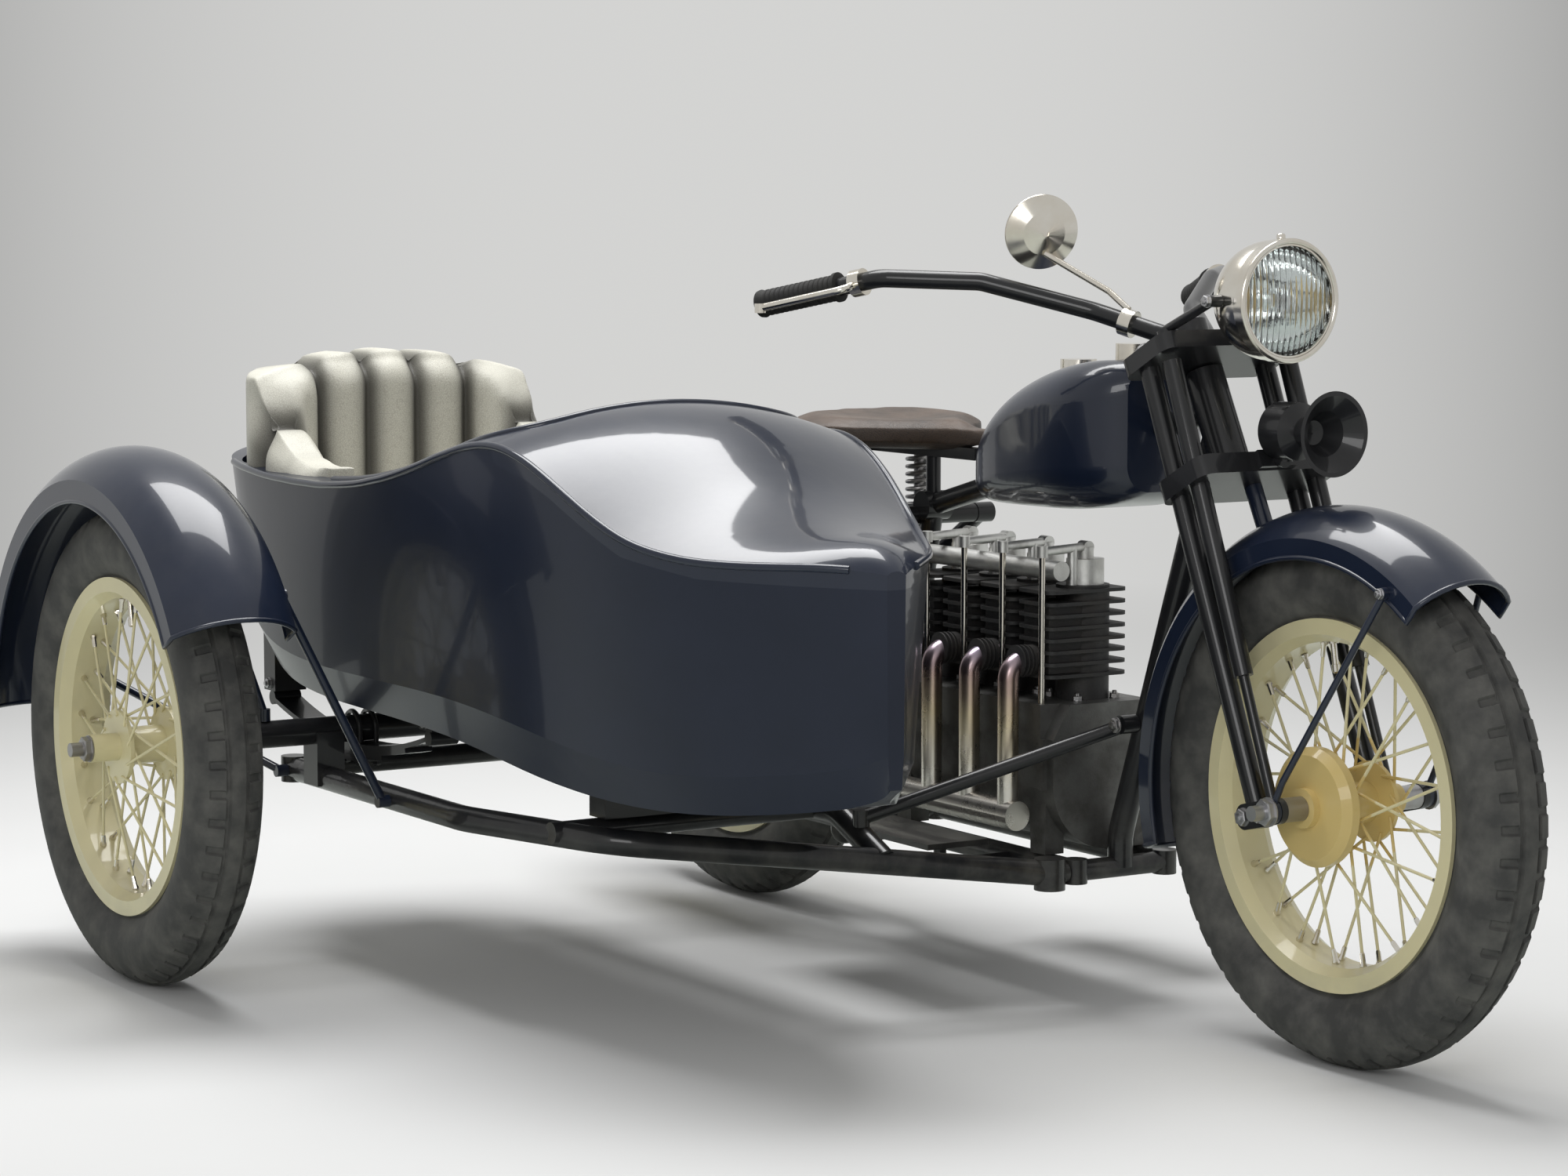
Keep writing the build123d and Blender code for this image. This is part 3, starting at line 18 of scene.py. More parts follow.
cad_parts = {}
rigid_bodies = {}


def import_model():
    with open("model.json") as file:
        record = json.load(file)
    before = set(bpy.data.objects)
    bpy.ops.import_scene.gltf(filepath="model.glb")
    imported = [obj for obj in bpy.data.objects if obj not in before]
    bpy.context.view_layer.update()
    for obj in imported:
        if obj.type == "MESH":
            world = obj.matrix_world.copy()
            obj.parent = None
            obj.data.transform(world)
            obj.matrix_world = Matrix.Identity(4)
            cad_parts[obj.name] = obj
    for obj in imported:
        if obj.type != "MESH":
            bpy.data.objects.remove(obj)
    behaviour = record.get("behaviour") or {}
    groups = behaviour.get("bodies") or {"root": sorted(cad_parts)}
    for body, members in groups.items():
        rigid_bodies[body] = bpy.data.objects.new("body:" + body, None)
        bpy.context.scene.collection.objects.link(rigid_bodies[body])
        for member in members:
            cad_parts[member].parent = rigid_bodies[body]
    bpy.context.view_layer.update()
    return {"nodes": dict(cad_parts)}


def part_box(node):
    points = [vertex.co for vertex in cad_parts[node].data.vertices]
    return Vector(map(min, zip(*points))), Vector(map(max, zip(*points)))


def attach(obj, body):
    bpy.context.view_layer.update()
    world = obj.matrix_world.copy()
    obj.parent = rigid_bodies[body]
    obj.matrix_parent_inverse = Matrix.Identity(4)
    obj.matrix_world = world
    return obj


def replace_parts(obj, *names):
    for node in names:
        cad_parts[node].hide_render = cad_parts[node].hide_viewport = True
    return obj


for leftover in list(bpy.data.objects):
    bpy.data.objects.remove(leftover)
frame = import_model()
nodes = frame["nodes"]

# %% [markdown]
# Sizes below are the drawing's, in millimetres: X forward from halfway between the wheels, Y to the left of
# the motorcycle's middle, Z up from the ground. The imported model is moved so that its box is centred. The
# rear tyre tells how far, so that the pieces still fit if the box changes.

# %% Drawing sizes
AXLE_Z = 345.0
FRONT_X = 750.0
REAR_X = -750.0
SIDE_X = -583.0
SIDE_Y = -1121.0
rear_low, rear_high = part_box("rear_tyre")
SHIFT = (rear_low + rear_high) / 2 - Vector((REAR_X, 0, AXLE_Z)) / 1000
RAKE = math.radians(27)
UP = Vector((-math.sin(RAKE), 0, math.cos(RAKE)))
AHEAD = Vector((math.cos(RAKE), 0, math.sin(RAKE)))
TRAIL_FOOT = Vector((FRONT_X + 140, 0, 0))


def at(x, y, z):
    """A point of the drawing, in metres in the model's frame."""
    return Vector((x, y, z)) / 1000 + SHIFT


def fork_point(along, ahead, side=0.0):
    """A point measured along the steering axis from the ground, ahead of it and to the side."""
    return TRAIL_FOOT + UP * along + AHEAD * ahead + Vector((0, side, 0))


print("shift", [round(v, 4) for v in SHIFT])

# %% [markdown]
# The camera stands where the photograph's did, a little higher than the tank and ahead of the right-hand
# side. Its place and lens were fitted to the wheels and the bodywork, so nothing needs to be shifted.

# %% Camera
CAMERA_TURN = math.radians(58.19)
CAMERA_RISE = math.radians(5.78)
camera_data = bpy.data.cameras.new("camera")
camera_data.lens = 88.25
camera_data.sensor_width = 36.0
camera = bpy.data.objects.new("camera", camera_data)
bpy.context.scene.collection.objects.link(camera)
camera.location = at(4554, -3222, 1125)
camera_back = Vector((math.sin(CAMERA_TURN) * math.cos(CAMERA_RISE),
                      -math.cos(CAMERA_TURN) * math.cos(CAMERA_RISE), math.sin(CAMERA_RISE)))
camera.rotation_mode = "QUATERNION"
camera.rotation_quaternion = (-camera_back).to_track_quat("-Z", "Y")
bpy.context.scene.camera = camera
print("camera at", [round(v, 3) for v in camera.location])

# %% [markdown]
# A finish is a small graph of nodes. Written node by node it hides its own idea, so one class stands for an
# output socket and lets plain arithmetic build the Math nodes. A second class holds the material and has one
# method that adds any other node.


# %% Shader arithmetic
class Signal:
    """A socket's output; arithmetic on it adds Math nodes to its tree."""

    def __init__(self, tree, socket):
        self.tree = tree
        self.socket = socket

    def maths(self, operation, first, second=None):
        node = self.tree.nodes.new("ShaderNodeMath")
        node.operation = operation
        for slot, value in zip(node.inputs, (first, second)):
            plug(self.tree, slot, value)
        return Signal(self.tree, node.outputs[0])

    def __add__(self, other):
        return self.maths("ADD", self, other)

    __radd__ = __add__

    def __mul__(self, other):
        return self.maths("MULTIPLY", self, other)

    __rmul__ = __mul__

    def __sub__(self, other):
        return self.maths("SUBTRACT", self, other)

    def __rsub__(self, other):
        return self.maths("SUBTRACT", other, self)

    def __pow__(self, other):
        return self.maths("POWER", self, other)

    def clamp(self):
        return self.maths("MINIMUM", self.maths("MAXIMUM", self, 0.0), 1.0)

    def sine(self):
        return self.maths("SINE", self)


def plug(tree, slot, value):
    """Links a signal to a socket, or sets the socket's own value."""
    if isinstance(value, Signal):
        tree.links.new(value.socket, slot)
    elif value is not None:
        if slot.type == "RGBA" and len(value) == 3:
            value = (*value, 1.0)
        slot.default_value = value


def split(tree, vector):
    """The three numbers of a vector."""
    made = tree.nodes.new("ShaderNodeSeparateXYZ")
    plug(tree, made.inputs[0], vector)
    return [Signal(tree, s) for s in made.outputs]


class Finish:
    """A material: its shader's constant values, and the graph that varies over the surface."""

    def __init__(self, name, **constants):
        self.material = bpy.data.materials.new(name)
        self.material.use_nodes = True
        self.tree = self.material.node_tree
        self.shader = self.tree.nodes["Principled BSDF"]
        self.feed(**constants)

    def feed(self, **values):
        for key, value in values.items():
            plug(self.tree, self.shader.inputs[key.replace("_", " ")], value)

    def node(self, kind, settings=None, out=0, **values):
        """Any node: its settings first, then what goes into its sockets; gives one of its outputs."""
        made = self.tree.nodes.new("ShaderNode" + kind)
        for key, value in (settings or {}).items():
            if key == "stops":
                for count, (place, colour) in enumerate(value):
                    ramp = made.color_ramp.elements
                    stop = ramp[count] if count < 2 else ramp.new(place)
                    stop.position = place
                    stop.color = (*colour, 1.0)
            else:
                setattr(made, key, value)
        for key, value in values.items():
            name = key.replace("_", " ")
            slot = next(s for s in made.inputs if s.enabled and s.name == name)
            plug(self.tree, slot, value)
        return Signal(self.tree, made.outputs[out] if isinstance(out, int) else
                      next(s for s in made.outputs if s.enabled and s.name == out))

    def place(self):
        """Where a point of the surface lies in the model's frame."""
        return self.node("TexCoord", out="Object")

    def axes(self):
        """The three numbers of that place."""
        return split(self.tree, self.place())

    def facing_up(self):
        """1 where the surface faces the sky, 0 on its sides and underneath."""
        return split(self.tree, self.node("NewGeometry", out="Normal"))[2].clamp()

    def noise(self, scale, detail=3.0, rough=0.55):
        return self.node("TexNoise", out="Fac", Vector=self.place(), Scale=scale, Detail=detail,
                         Roughness=rough)

    def ramp(self, signal, low, high):
        """Stretches a signal so that low becomes 0 and high becomes 1."""
        return self.node("MapRange", {"clamp": True}, Value=signal, From_Min=low, From_Max=high)

    def blend(self, factor, first, second):
        return self.node("Mix", {"data_type": "RGBA"}, out="Result", Factor=factor, A=first, B=second)

    def bump(self, height, strength, distance):
        self.feed(Normal=self.node("Bump", Height=height, Strength=strength, Distance=distance))


print("shader helpers ready")

# %% [markdown]
# Stoved enamel covers the bodywork. It is one colour from far away, but close to it the brushed coats drift a
# little in tone, dust settles on what faces up, and road dirt creeps up from below. A clear coat gives the
# sharp highlight of varnish over the softer one of the colour beneath. The hull's sides have less of it, and
# their navy is darker than the deck's: painted shade that keeps them dark. The front hub's brake drum is a
# shade more golden than its spokes, so its paint knows how far from the axle it is.

# %% Enamels
DUST = (0.36, 0.34, 0.30)
GOLDEN = (0.66, 0.50, 0.20)
DRUM_R = 0.082


def enamel(name, colour, drift, gloss, dust=0.03, dirt_height=0.30, coat=0.42, heart=None):
    """A varnished paint; heart is the place and radius of a disc across the machine in another colour."""
    paint = Finish(name, Coat_Roughness=0.06, Coat_IOR=1.5, Specular_IOR_Level=0.22)
    clouds = paint.noise(5.5, 4.0)
    grain = paint.noise(90.0, 2.0)
    tone = paint.blend(paint.ramp(clouds, 0.35, 0.68), colour, drift)
    if heart:
        x, z, radius, other = heart
        along, _, up = paint.axes()
        away = ((along - x) * (along - x) + (up - z) * (up - z)) ** 0.5
        tone = paint.blend(1.0 - paint.ramp(away, radius, radius + 0.003), tone, other)
    settled = paint.facing_up() * paint.ramp(paint.noise(28.0, 5.0), 0.42, 0.75) * dust
    height = paint.axes()[2]
    splash = (1.0 - paint.ramp(height, 0.03, dirt_height)) * paint.ramp(paint.noise(17.0, 6.0), 0.40, 0.72)
    dirty = (settled + splash * 0.55).clamp()
    paint.feed(Base_Color=paint.blend(dirty, tone, DUST))
    paint.feed(Roughness=(gloss + (clouds - 0.5) * 0.10 + dirty * 0.45).clamp())
    paint.feed(Coat_Weight=(coat - dirty * 0.40).clamp())
    paint.bump(grain, 0.035, 0.001)
    return paint.material


navy = enamel("navy_enamel", (0.0085, 0.0135, 0.030), (0.012, 0.018, 0.038), 0.30, coat=0.62)
# The hull's navy is darker than the deck's, as painted shade, and has less clear coat.
shaded_hull_navy = enamel("shaded_hull_enamel", (0.0070, 0.0115, 0.026), (0.010, 0.015, 0.033), 0.30, coat=0.28)
black = enamel("black_enamel", (0.011, 0.0115, 0.013), (0.018, 0.018, 0.020), 0.34)
CREAM = {"colour": (0.74, 0.67, 0.41), "drift": (0.66, 0.60, 0.38), "gloss": 0.36, "dust": 0.05,
         "dirt_height": 0.18}
cream = enamel("cream_enamel", **CREAM)
front_axle = at(FRONT_X, 0, AXLE_Z)
hub_cream = enamel("hub_enamel", heart=(front_axle.x, front_axle.z, DRUM_R, GOLDEN), **CREAM)
print("enamels", navy.name, shaded_hull_navy.name, black.name, cream.name, hub_cream.name)

# %% [markdown]
# Bare metal differs by how it was worked. Plate is mirror-bright with faint hairlines and a warm bloom,
# castings are matt with a sandy skin, turned steel lies between, and iron barrels are stoved black and rough.


# %% Metals
def bright_metal(name, colour, tarnish, smooth, hairline=0.02):
    metal = Finish(name, Metallic=1.0)
    bloom = metal.ramp(metal.noise(14.0, 5.0), 0.40, 0.75)
    smear = metal.noise(55.0, 3.0)
    metal.feed(Base_Color=metal.blend(bloom * 0.6, colour, tarnish))
    metal.feed(Roughness=(smooth + bloom * 0.14 + (smear - 0.5) * 0.12).clamp())
    metal.bump(metal.noise(420.0, 2.0), hairline, 0.0005)
    return metal.material


def casting(name, colour, stain, matt, sand, metallic=1.0):
    metal = Finish(name, Metallic=metallic)
    skin = metal.noise(330.0, 3.0, 0.7)
    patches = metal.ramp(metal.noise(22.0, 6.0), 0.42, 0.72)
    low_dirt = (1.0 - metal.ramp(metal.axes()[2], 0.20, 0.42)) * metal.noise(30.0, 5.0)
    soil = (patches * 0.55 + low_dirt * 0.7).clamp()
    metal.feed(Base_Color=metal.blend(soil, colour, stain))
    metal.feed(Roughness=(matt + soil * 0.22 + (skin - 0.5) * 0.2).clamp())
    metal.bump(skin, sand, 0.0012)
    return metal.material


nickel = bright_metal("nickel_plate", (0.74, 0.71, 0.65), (0.56, 0.49, 0.38), 0.13)
steel = bright_metal("turned_steel", (0.42, 0.42, 0.43), (0.24, 0.21, 0.18), 0.34, 0.05)
brass = bright_metal("aged_brass", (0.62, 0.45, 0.19), (0.34, 0.24, 0.12), 0.30)
aluminium = casting("cast_aluminium", (0.72, 0.72, 0.70), (0.36, 0.35, 0.33), 0.42, 0.22)
# The crankcase and gearbox are given a near-black aluminium.
darkened_aluminium = casting("darkened_aluminium_casting", (0.17, 0.17, 0.165), (0.055, 0.050, 0.045), 0.48, 0.25, metallic=0.8)
iron = casting("stoved_iron", (0.030, 0.030, 0.031), (0.060, 0.052, 0.045), 0.55, 0.35, metallic=0.25)
print("metals", nickel.name, steel.name, brass.name, aluminium.name, iron.name)

# %% [markdown]
# Pipes colour where they run hot. The blue and straw tints come from height: the hot end is up by the
# cylinders, and the tint fades towards the silencer.

# %% Hot pipes
pipe = Finish("heated_pipe", Metallic=1.0)
heat = pipe.ramp(pipe.axes()[2] + (pipe.noise(26.0, 4.0) - 0.5) * 0.05, 0.30, 0.50)
tint = pipe.node("ValToRGB", {"stops": [(0.0, (0.66, 0.63, 0.58)), (1.0, (0.30, 0.27, 0.36)),
                                        (0.45, (0.62, 0.52, 0.36)), (0.75, (0.46, 0.33, 0.30))]},
                 out="Color", Fac=heat)
pipe.feed(Base_Color=tint, Roughness=(0.18 + pipe.noise(40.0, 4.0) * 0.22).clamp())
pipe.bump(pipe.noise(300.0, 2.0), 0.03, 0.0005)
heated = pipe.material
print("pipes", heated.name)

# %% [markdown]
# Rubber, leather and glass. Rubber is dull and dusty. Leather has a pebbled grain from Voronoi cells, is
# darker in its creases and polished where it is sat on, and a near-black painted shade follows its sewn
# channels. The lamp's glass has moulded flutes that spread the beam, made as a bump so that the glass itself
# stays thin.


# %% Rubber
def rubber(name, colour, worn, grain):
    skin = Finish(name, Specular_IOR_Level=0.35)
    dust = skin.ramp(skin.noise(24.0, 6.0), 0.38, 0.74)
    skin.feed(Base_Color=skin.blend(dust, colour, worn))
    skin.feed(Roughness=(0.66 + dust * 0.25).clamp())
    skin.bump(skin.noise(grain, 4.0), 0.25, 0.001)
    return skin.material


tyre_rubber = rubber("tyre_rubber", (0.048, 0.048, 0.047), (0.125, 0.122, 0.114), 260.0)
grip_rubber = rubber("grip_rubber", (0.016, 0.016, 0.016), (0.035, 0.034, 0.032), 420.0)


def leather(name, colour, crease, rubbed, groove_shade_colour, shine):
    hide = Finish(name, Specular_IOR_Level=0.45, Sheen_Weight=0.06)
    cells = hide.node("TexVoronoi", {"feature": "DISTANCE_TO_EDGE"}, Vector=hide.place(), Scale=340.0)
    pebbles = hide.ramp(cells, 0.0, 0.16)
    folds = hide.noise(9.0, 5.0)
    wear = hide.facing_up() * hide.ramp(folds, 0.40, 0.66)
    groove = hide.node("Attribute", {"attribute_name": "groove"}, out="Fac")
    tone = hide.blend(1.0 - pebbles * 0.75, colour, crease)
    tone = hide.blend(wear * 0.55, tone, rubbed)
    # The groove value paints shade: the colour goes towards a near-black along the sewn channels.
    hide.feed(Base_Color=hide.blend(groove * 0.94, tone, groove_shade_colour))
    hide.feed(Roughness=(shine + 0.18 * hide.noise(60.0, 3.0) - wear * 0.10).clamp())
    hide.bump(pebbles + folds * 0.5, 0.22, 0.0012)
    return hide.material


# The last colour of each hide is the painted shade of its sewn channels.
seat_leather = leather("seat_leather", (0.74, 0.73, 0.64), (0.52, 0.50, 0.43), (0.78, 0.77, 0.68),
                       (0.030, 0.027, 0.020), 0.46)
saddle_leather = leather("saddle_leather", (0.060, 0.036, 0.022), (0.020, 0.013, 0.009), (0.13, 0.075, 0.042),
                         (0.015, 0.010, 0.008), 0.40)
print("hides and rubber", seat_leather.name, saddle_leather.name, tyre_rubber.name, grip_rubber.name)

# %% Glass
lens = Finish("lamp_glass", Roughness=0.04, IOR=1.48, Transmission_Weight=1.0)
lens.feed(Base_Color=lens.blend(lens.noise(30.0, 4.0) * 0.3, (0.96, 0.98, 0.98), (0.80, 0.84, 0.82)))
flutes = (lens.axes()[1] * 700.0).sine()
lens.bump(flutes, 0.45, 0.0012)
lamp_glass = lens.material
ruby = Finish("ruby_glass", Roughness=0.12, IOR=1.5, Coat_Weight=0.6)
ruby.feed(Base_Color=ruby.blend(ruby.noise(60.0, 3.0), (0.30, 0.006, 0.005), (0.42, 0.014, 0.010)))
ruby.bump((ruby.axes()[2] * 900.0).sine(), 0.2, 0.001)
ruby_glass = ruby.material
silvered = Finish("silvered_glass", Metallic=1.0)
spots = silvered.noise(40.0, 4.0) * 0.25
silvered.feed(Base_Color=silvered.blend(spots, (0.88, 0.90, 0.90), (0.70, 0.71, 0.70)))
silvered.feed(Roughness=(0.02 + silvered.noise(80.0, 3.0) * 0.05).clamp())
mirror_glass = silvered.material
print("glass", lamp_glass.name, ruby_glass.name, mirror_glass.name)

# %% [markdown]
# Every CAD node takes one finish. The table gives the finish once for each group, and each curved face is
# shaded smooth up to a crease angle, as a pressed or turned surface looks.

# %% Finishes for the CAD nodes
FINISHES = [
    (navy, ["front_mudguard", "rear_mudguard", "sidecar_mudguard", "fuel_tank", "sidecar_deck"]),
    (shaded_hull_navy, ["sidecar_hull"]),
    (black, ["frame", "fork", "fork_springs", "fork_links", "handlebar", "headlamp_bracket", "horn",
             "saddle_frame", "sidecar_chassis", "sidecar_struts", "sidecar_springs", "sidecar_brackets",
             "footboards", "tail_lamp"]),
    (cream, ["front_rim", "rear_rim", "sidecar_rim", "rear_hub", "sidecar_hub"]),
    (hub_cream, ["front_hub"]),
    (nickel, ["headlamp", "mirror", "control_levers", "filler_caps", "pushrods"]),
    (heated, ["exhaust_pipes", "silencer"]),
    (steel, ["front_axle", "rear_axle", "sidecar_axle", "saddle_springs", "drive_chain"]),
    (aluminium, ["inlet_manifold", "valve_cages"]),
    (darkened_aluminium, ["crankcase", "gearbox"]),
    (iron, ["cylinders"]),
    (brass, ["carburettor"]),
    (grip_rubber, ["grips"]),
    (tyre_rubber, ["front_tyre", "rear_tyre", "sidecar_tyre"]),
    (saddle_leather, ["saddle"]),
    (seat_leather, ["seat_cushion", "seat_back"]),
    (lamp_glass, ["headlamp_glass"]),
]
CREASE = math.radians(32)
ROUND = math.radians(60)
for finish, names in FINISHES:
    for name in names:
        mesh = nodes[name].data
        mesh.materials.clear()
        mesh.materials.append(finish)
        mesh.shade_smooth()
        mesh.set_sharp_from_angle(angle=CREASE)
bare = set(nodes) - {n for finish, names in FINISHES for n in names}
print("finished", len(nodes) - len(bare), "nodes, bare", sorted(bare))

# %% [markdown]
# New pieces are meshes from points and faces, already in the model's frame, so each only needs a finish and
# the CAD body that it moves with.


# %% Mesh helpers
def piece(name, points, faces, body, finish, crease=CREASE):
    """A mesh object that rides on a CAD body."""
    mesh = bpy.data.meshes.new(name)
    mesh.from_pydata([tuple(p) for p in points], [], faces)
    mesh.validate()
    mesh.materials.append(finish)
    mesh.shade_smooth()
    mesh.set_sharp_from_angle(angle=crease)
    made = bpy.data.objects.new(name, mesh)
    bpy.context.scene.collection.objects.link(made)
    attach(made, body)
    return made


def frame_of(axis):
    """Two unit vectors square to an axis and to each other."""
    axis = Vector(axis).normalized()
    side = axis.orthogonal().normalized()
    return axis, side, axis.cross(side)


def angles(count):
    """Equal steps round a circle."""
    return [2 * math.pi * k / count for k in range(count)]


class Shapes:
    """Collects many small solids into one mesh."""

    def __init__(self):
        self.points = []
        self.faces = []

    def rings(self, rings, closed=False):
        """Skins rings of equal counts; caps the ends unless the rings close on themselves."""
        start = len(self.points)
        count = len(rings[0])
        for ring in rings:
            self.points += [Vector(p) for p in ring]
        pairs = range(len(rings)) if closed else range(len(rings) - 1)
        for row in pairs:
            low = start + row * count
            high = start + ((row + 1) % len(rings)) * count
            for k in range(count):
                after = (k + 1) % count
                self.faces.append((low + k, low + after, high + after, high + k))
        if not closed:
            self.faces.append(tuple(start + k for k in reversed(range(count))))
            self.faces.append(tuple(start + (len(rings) - 1) * count + k for k in range(count)))

    def turned(self, origin, axis, outline, sides=24):
        """A turned solid from (along, radius) pairs, in millimetres."""
        axis, side, other = frame_of(axis)
        rings = []
        for along, radius in outline:
            middle = origin + axis * (along / 1000)
            rings.append([middle + (side * math.cos(a) + other * math.sin(a)) * (radius / 1000)
                          for a in angles(sides)])
        self.rings(rings)

    def hex_nut(self, origin, axis, across, height, stud=0.0):
        """A hexagon nut with a washer, chamfered corners and, if asked for, the stud's end."""
        corner = across / 2 / math.cos(math.radians(30))
        washer = height * 0.16
        self.turned(origin, axis, [(0, across * 0.62), (washer, across * 0.62)], 20)
        self.turned(origin, axis, [(washer, corner), (height * 0.88, corner), (height, corner * 0.86)], 6)
        if stud:
            self.turned(origin, axis, [(height * 0.9, across * 0.29), (height + stud * 0.8, across * 0.29),
                                       (height + stud, across * 0.22)], 12)

    def tube(self, path, radius, sides=10, closed=False):
        """A round bead along points in metres; its frame is carried along so that it doesn't twist."""
        path = [Vector(p) for p in path]
        count = len(path)
        rings = []
        side = None
        for k, point in enumerate(path):
            before = path[(k - 1) % count] if closed or k else point
            after = path[(k + 1) % count] if closed or k < count - 1 else point
            run = (after - before).normalized()
            side = run.orthogonal() if side is None else side - run * side.dot(run)
            side = side.normalized()
            other = run.cross(side)
            rings.append([point + (side * math.cos(a) + other * math.sin(a)) * (radius / 1000)
                          for a in angles(sides)])
        self.rings(rings, closed)

    def make(self, name, body, finish, crease=CREASE):
        made = piece(name, self.points, self.faces, body, finish, crease)
        print(name, len(made.data.polygons), "faces")
        return made


def arc(first, middle, last, count):
    """Points on the circle through three points of a plane."""
    (ax, ay), (bx, by), (cx, cy) = first, middle, last
    d = 2 * (ax * (by - cy) + bx * (cy - ay) + cx * (ay - by))
    a2, b2, c2 = ax * ax + ay * ay, bx * bx + by * by, cx * cx + cy * cy
    ox = (a2 * (by - cy) + b2 * (cy - ay) + c2 * (ay - by)) / d
    oy = (a2 * (cx - bx) + b2 * (ax - cx) + c2 * (bx - ax)) / d
    start = math.atan2(ay - oy, ax - ox)
    turn = [(math.atan2(y - oy, x - ox) - start) % (2 * math.pi) for x, y in (middle, last)]
    span = turn[1] if turn[0] < turn[1] else turn[1] - 2 * math.pi
    radius = math.hypot(ax - ox, ay - oy)
    return [(ox + radius * math.cos(start + span * k / (count - 1)),
             oy + radius * math.sin(start + span * k / (count - 1))) for k in range(count)]


print("mesh helpers ready")

# %% [markdown]
# A tyre of the period has a plain middle rib and two rows of blocks. Cutting grooves with booleans would be
# slow and ragged, so the tyre is skinned from its cross-section, carried round the wheel in short steps, and
# each point is sunk where a groove runs. The steps are uneven, which keeps the walls of the grooves steep.

# %% Tyres with tread
TREAD_PITCHES = 52
TREAD_DEPTH = 5.0
TREAD_FROM = 318
GROOVE_INNER = 11
GROOVE_OUTER = 17
BLOCK_FALL = 37
BLOCK_END = 45
BLOCK_SHARE = 0.7
SIDEWALL = arc((245, 33.7), (290, 53), (331, 38), 12)
CROWN = [(345 - 14 * (y / 38) ** 2, y) for y in (35, 33, 31, 18, 16, 12, 10)]
HALF_SECTION = [(230.5, 33.7)] + SIDEWALL + CROWN
SECTION = [(r, -y) for r, y in HALF_SECTION] + [(345, 0)] + [(r, y) for r, y in reversed(HALF_SECTION)]


def groove(y, share):
    """How far a point of the crown is sunk, by its place across and along one pitch."""
    away = abs(y)
    if GROOVE_INNER <= away <= GROOVE_OUTER:
        return TREAD_DEPTH
    if GROOVE_OUTER < away < BLOCK_END and share > BLOCK_SHARE:
        return TREAD_DEPTH if away < BLOCK_FALL else TREAD_DEPTH * 0.5
    return 0.0


def treaded_tyre(wheel, x, y):
    """One tyre; the blocks of its right half are half a pitch out of step with its left."""
    shapes = Shapes()
    rings = []
    for pitch in range(TREAD_PITCHES):
        for share in (0.0, 0.66, 0.72, 0.94):
            ring = []
            for radius, across in SECTION:
                stagger = 0.5 if across < 0 else 0.0
                shoulder = min(1, max(0, (abs(across) - 12) / 6))
                angle = 2 * math.pi * (pitch + share + stagger * shoulder) / TREAD_PITCHES
                deep = groove(across, share) if radius > TREAD_FROM else 0.0
                r = radius - deep
                ring.append(at(x + r * math.cos(angle), y + across, AXLE_Z + r * math.sin(angle)))
            rings.append(ring)
    shapes.rings(rings, closed=True)
    made = shapes.make(wheel + "_treaded_tyre", wheel + "_wheel", tyre_rubber)
    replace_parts(made, wheel + "_tyre")


WHEELS = [("front", FRONT_X, 0.0), ("rear", REAR_X, 0.0), ("sidecar", SIDE_X, SIDE_Y)]
for wheel, x, y in WHEELS:
    treaded_tyre(wheel, x, y)

# %% [markdown]
# Each spoke is held in the rim by a nipple, and the tyre is filled through a valve. They are small and many,
# so all of a wheel's go into one mesh.

# %% Spoke nipples and valves
SPOKE_FACES = 10
SPOKE_SWEEP = 42.0
FLANGE_R = 46
FLANGE_Y = 36
RIM_R = 211
VALVE_TURN = 100
NIPPLE = [(0, 2.6), (2, 3.3), (14, 3.6), (17, 5.0), (19.5, 5.0)]
VALVE = [(0, 7.5), (3, 7.5), (3.2, 4.2), (30, 4.2), (30.5, 5.2), (40, 5.0), (42, 3.0)]


def wheel_point(x, y, radius, angle, across):
    """A point round the axle at x and y, by its angle up from the front and its place across the wheel."""
    turn = math.radians(angle)
    return at(x + radius * math.cos(turn), y + across, AXLE_Z + radius * math.sin(turn))


for wheel, x, y in WHEELS:
    shapes = Shapes()
    for side in (-1, 1):
        for face, lean in ((4.5, 1), (-4.5, -1)):
            for count in range(SPOKE_FACES):
                turn = 360 / SPOKE_FACES * (count + 0.25 * (side + 1) + 0.25 * (lean + 1) / 2)
                near = wheel_point(x, y, FLANGE_R, turn, side * (FLANGE_Y + face))
                far = wheel_point(x, y, RIM_R, turn + lean * SPOKE_SWEEP, side * 9)
                run = (far - near).normalized()
                shapes.turned(far - run * 0.019, run, NIPPLE, 8)
    valve = wheel_point(x, y, RIM_R + 0.5, VALVE_TURN, 0)
    inward = (wheel_point(x, y, 150, VALVE_TURN, 0) - valve).normalized()
    shapes.turned(valve, inward, VALVE, 14)
    shapes.make(wheel + "_nipples", wheel + "_wheel", nickel)

# %% [markdown]
# Stuffed leather is a skin under tension. Each pad starts as its CAD solid, cut off where it can't be seen,
# remeshed into small squares and drawn in a little. Blender's cloth then blows it up. Only its swelling
# square to the skin is kept, up to a cap, so that thin arms don't crumple. The sewn channels come last, as
# lines pressed into the swollen form, because the remesh would wipe them out. Along each channel a painted
# shade is stored on the points, for the leather to darken.

# %% Stuffing
PRESSURE = 4.0
CLOTH_FRAMES = 20
SEAM_WIDTH = 9.5
SHADE_WIDTH = 18.0


def settle(made):
    """Keeps what the modifiers show and removes them."""
    graph = bpy.context.evaluated_depsgraph_get()
    shown = bpy.data.meshes.new_from_object(made.evaluated_get(graph))
    made.modifiers.clear()
    made.data = shown


def numbers(mesh, what):
    """A mesh's points or normals as rows of three."""
    rows = np.empty(len(mesh.vertices) * 3)
    mesh.vertices.foreach_get(what, rows)
    return rows.reshape(-1, 3)


def put_points(mesh, rows):
    mesh.vertices.foreach_set("co", rows.ravel())
    mesh.update()


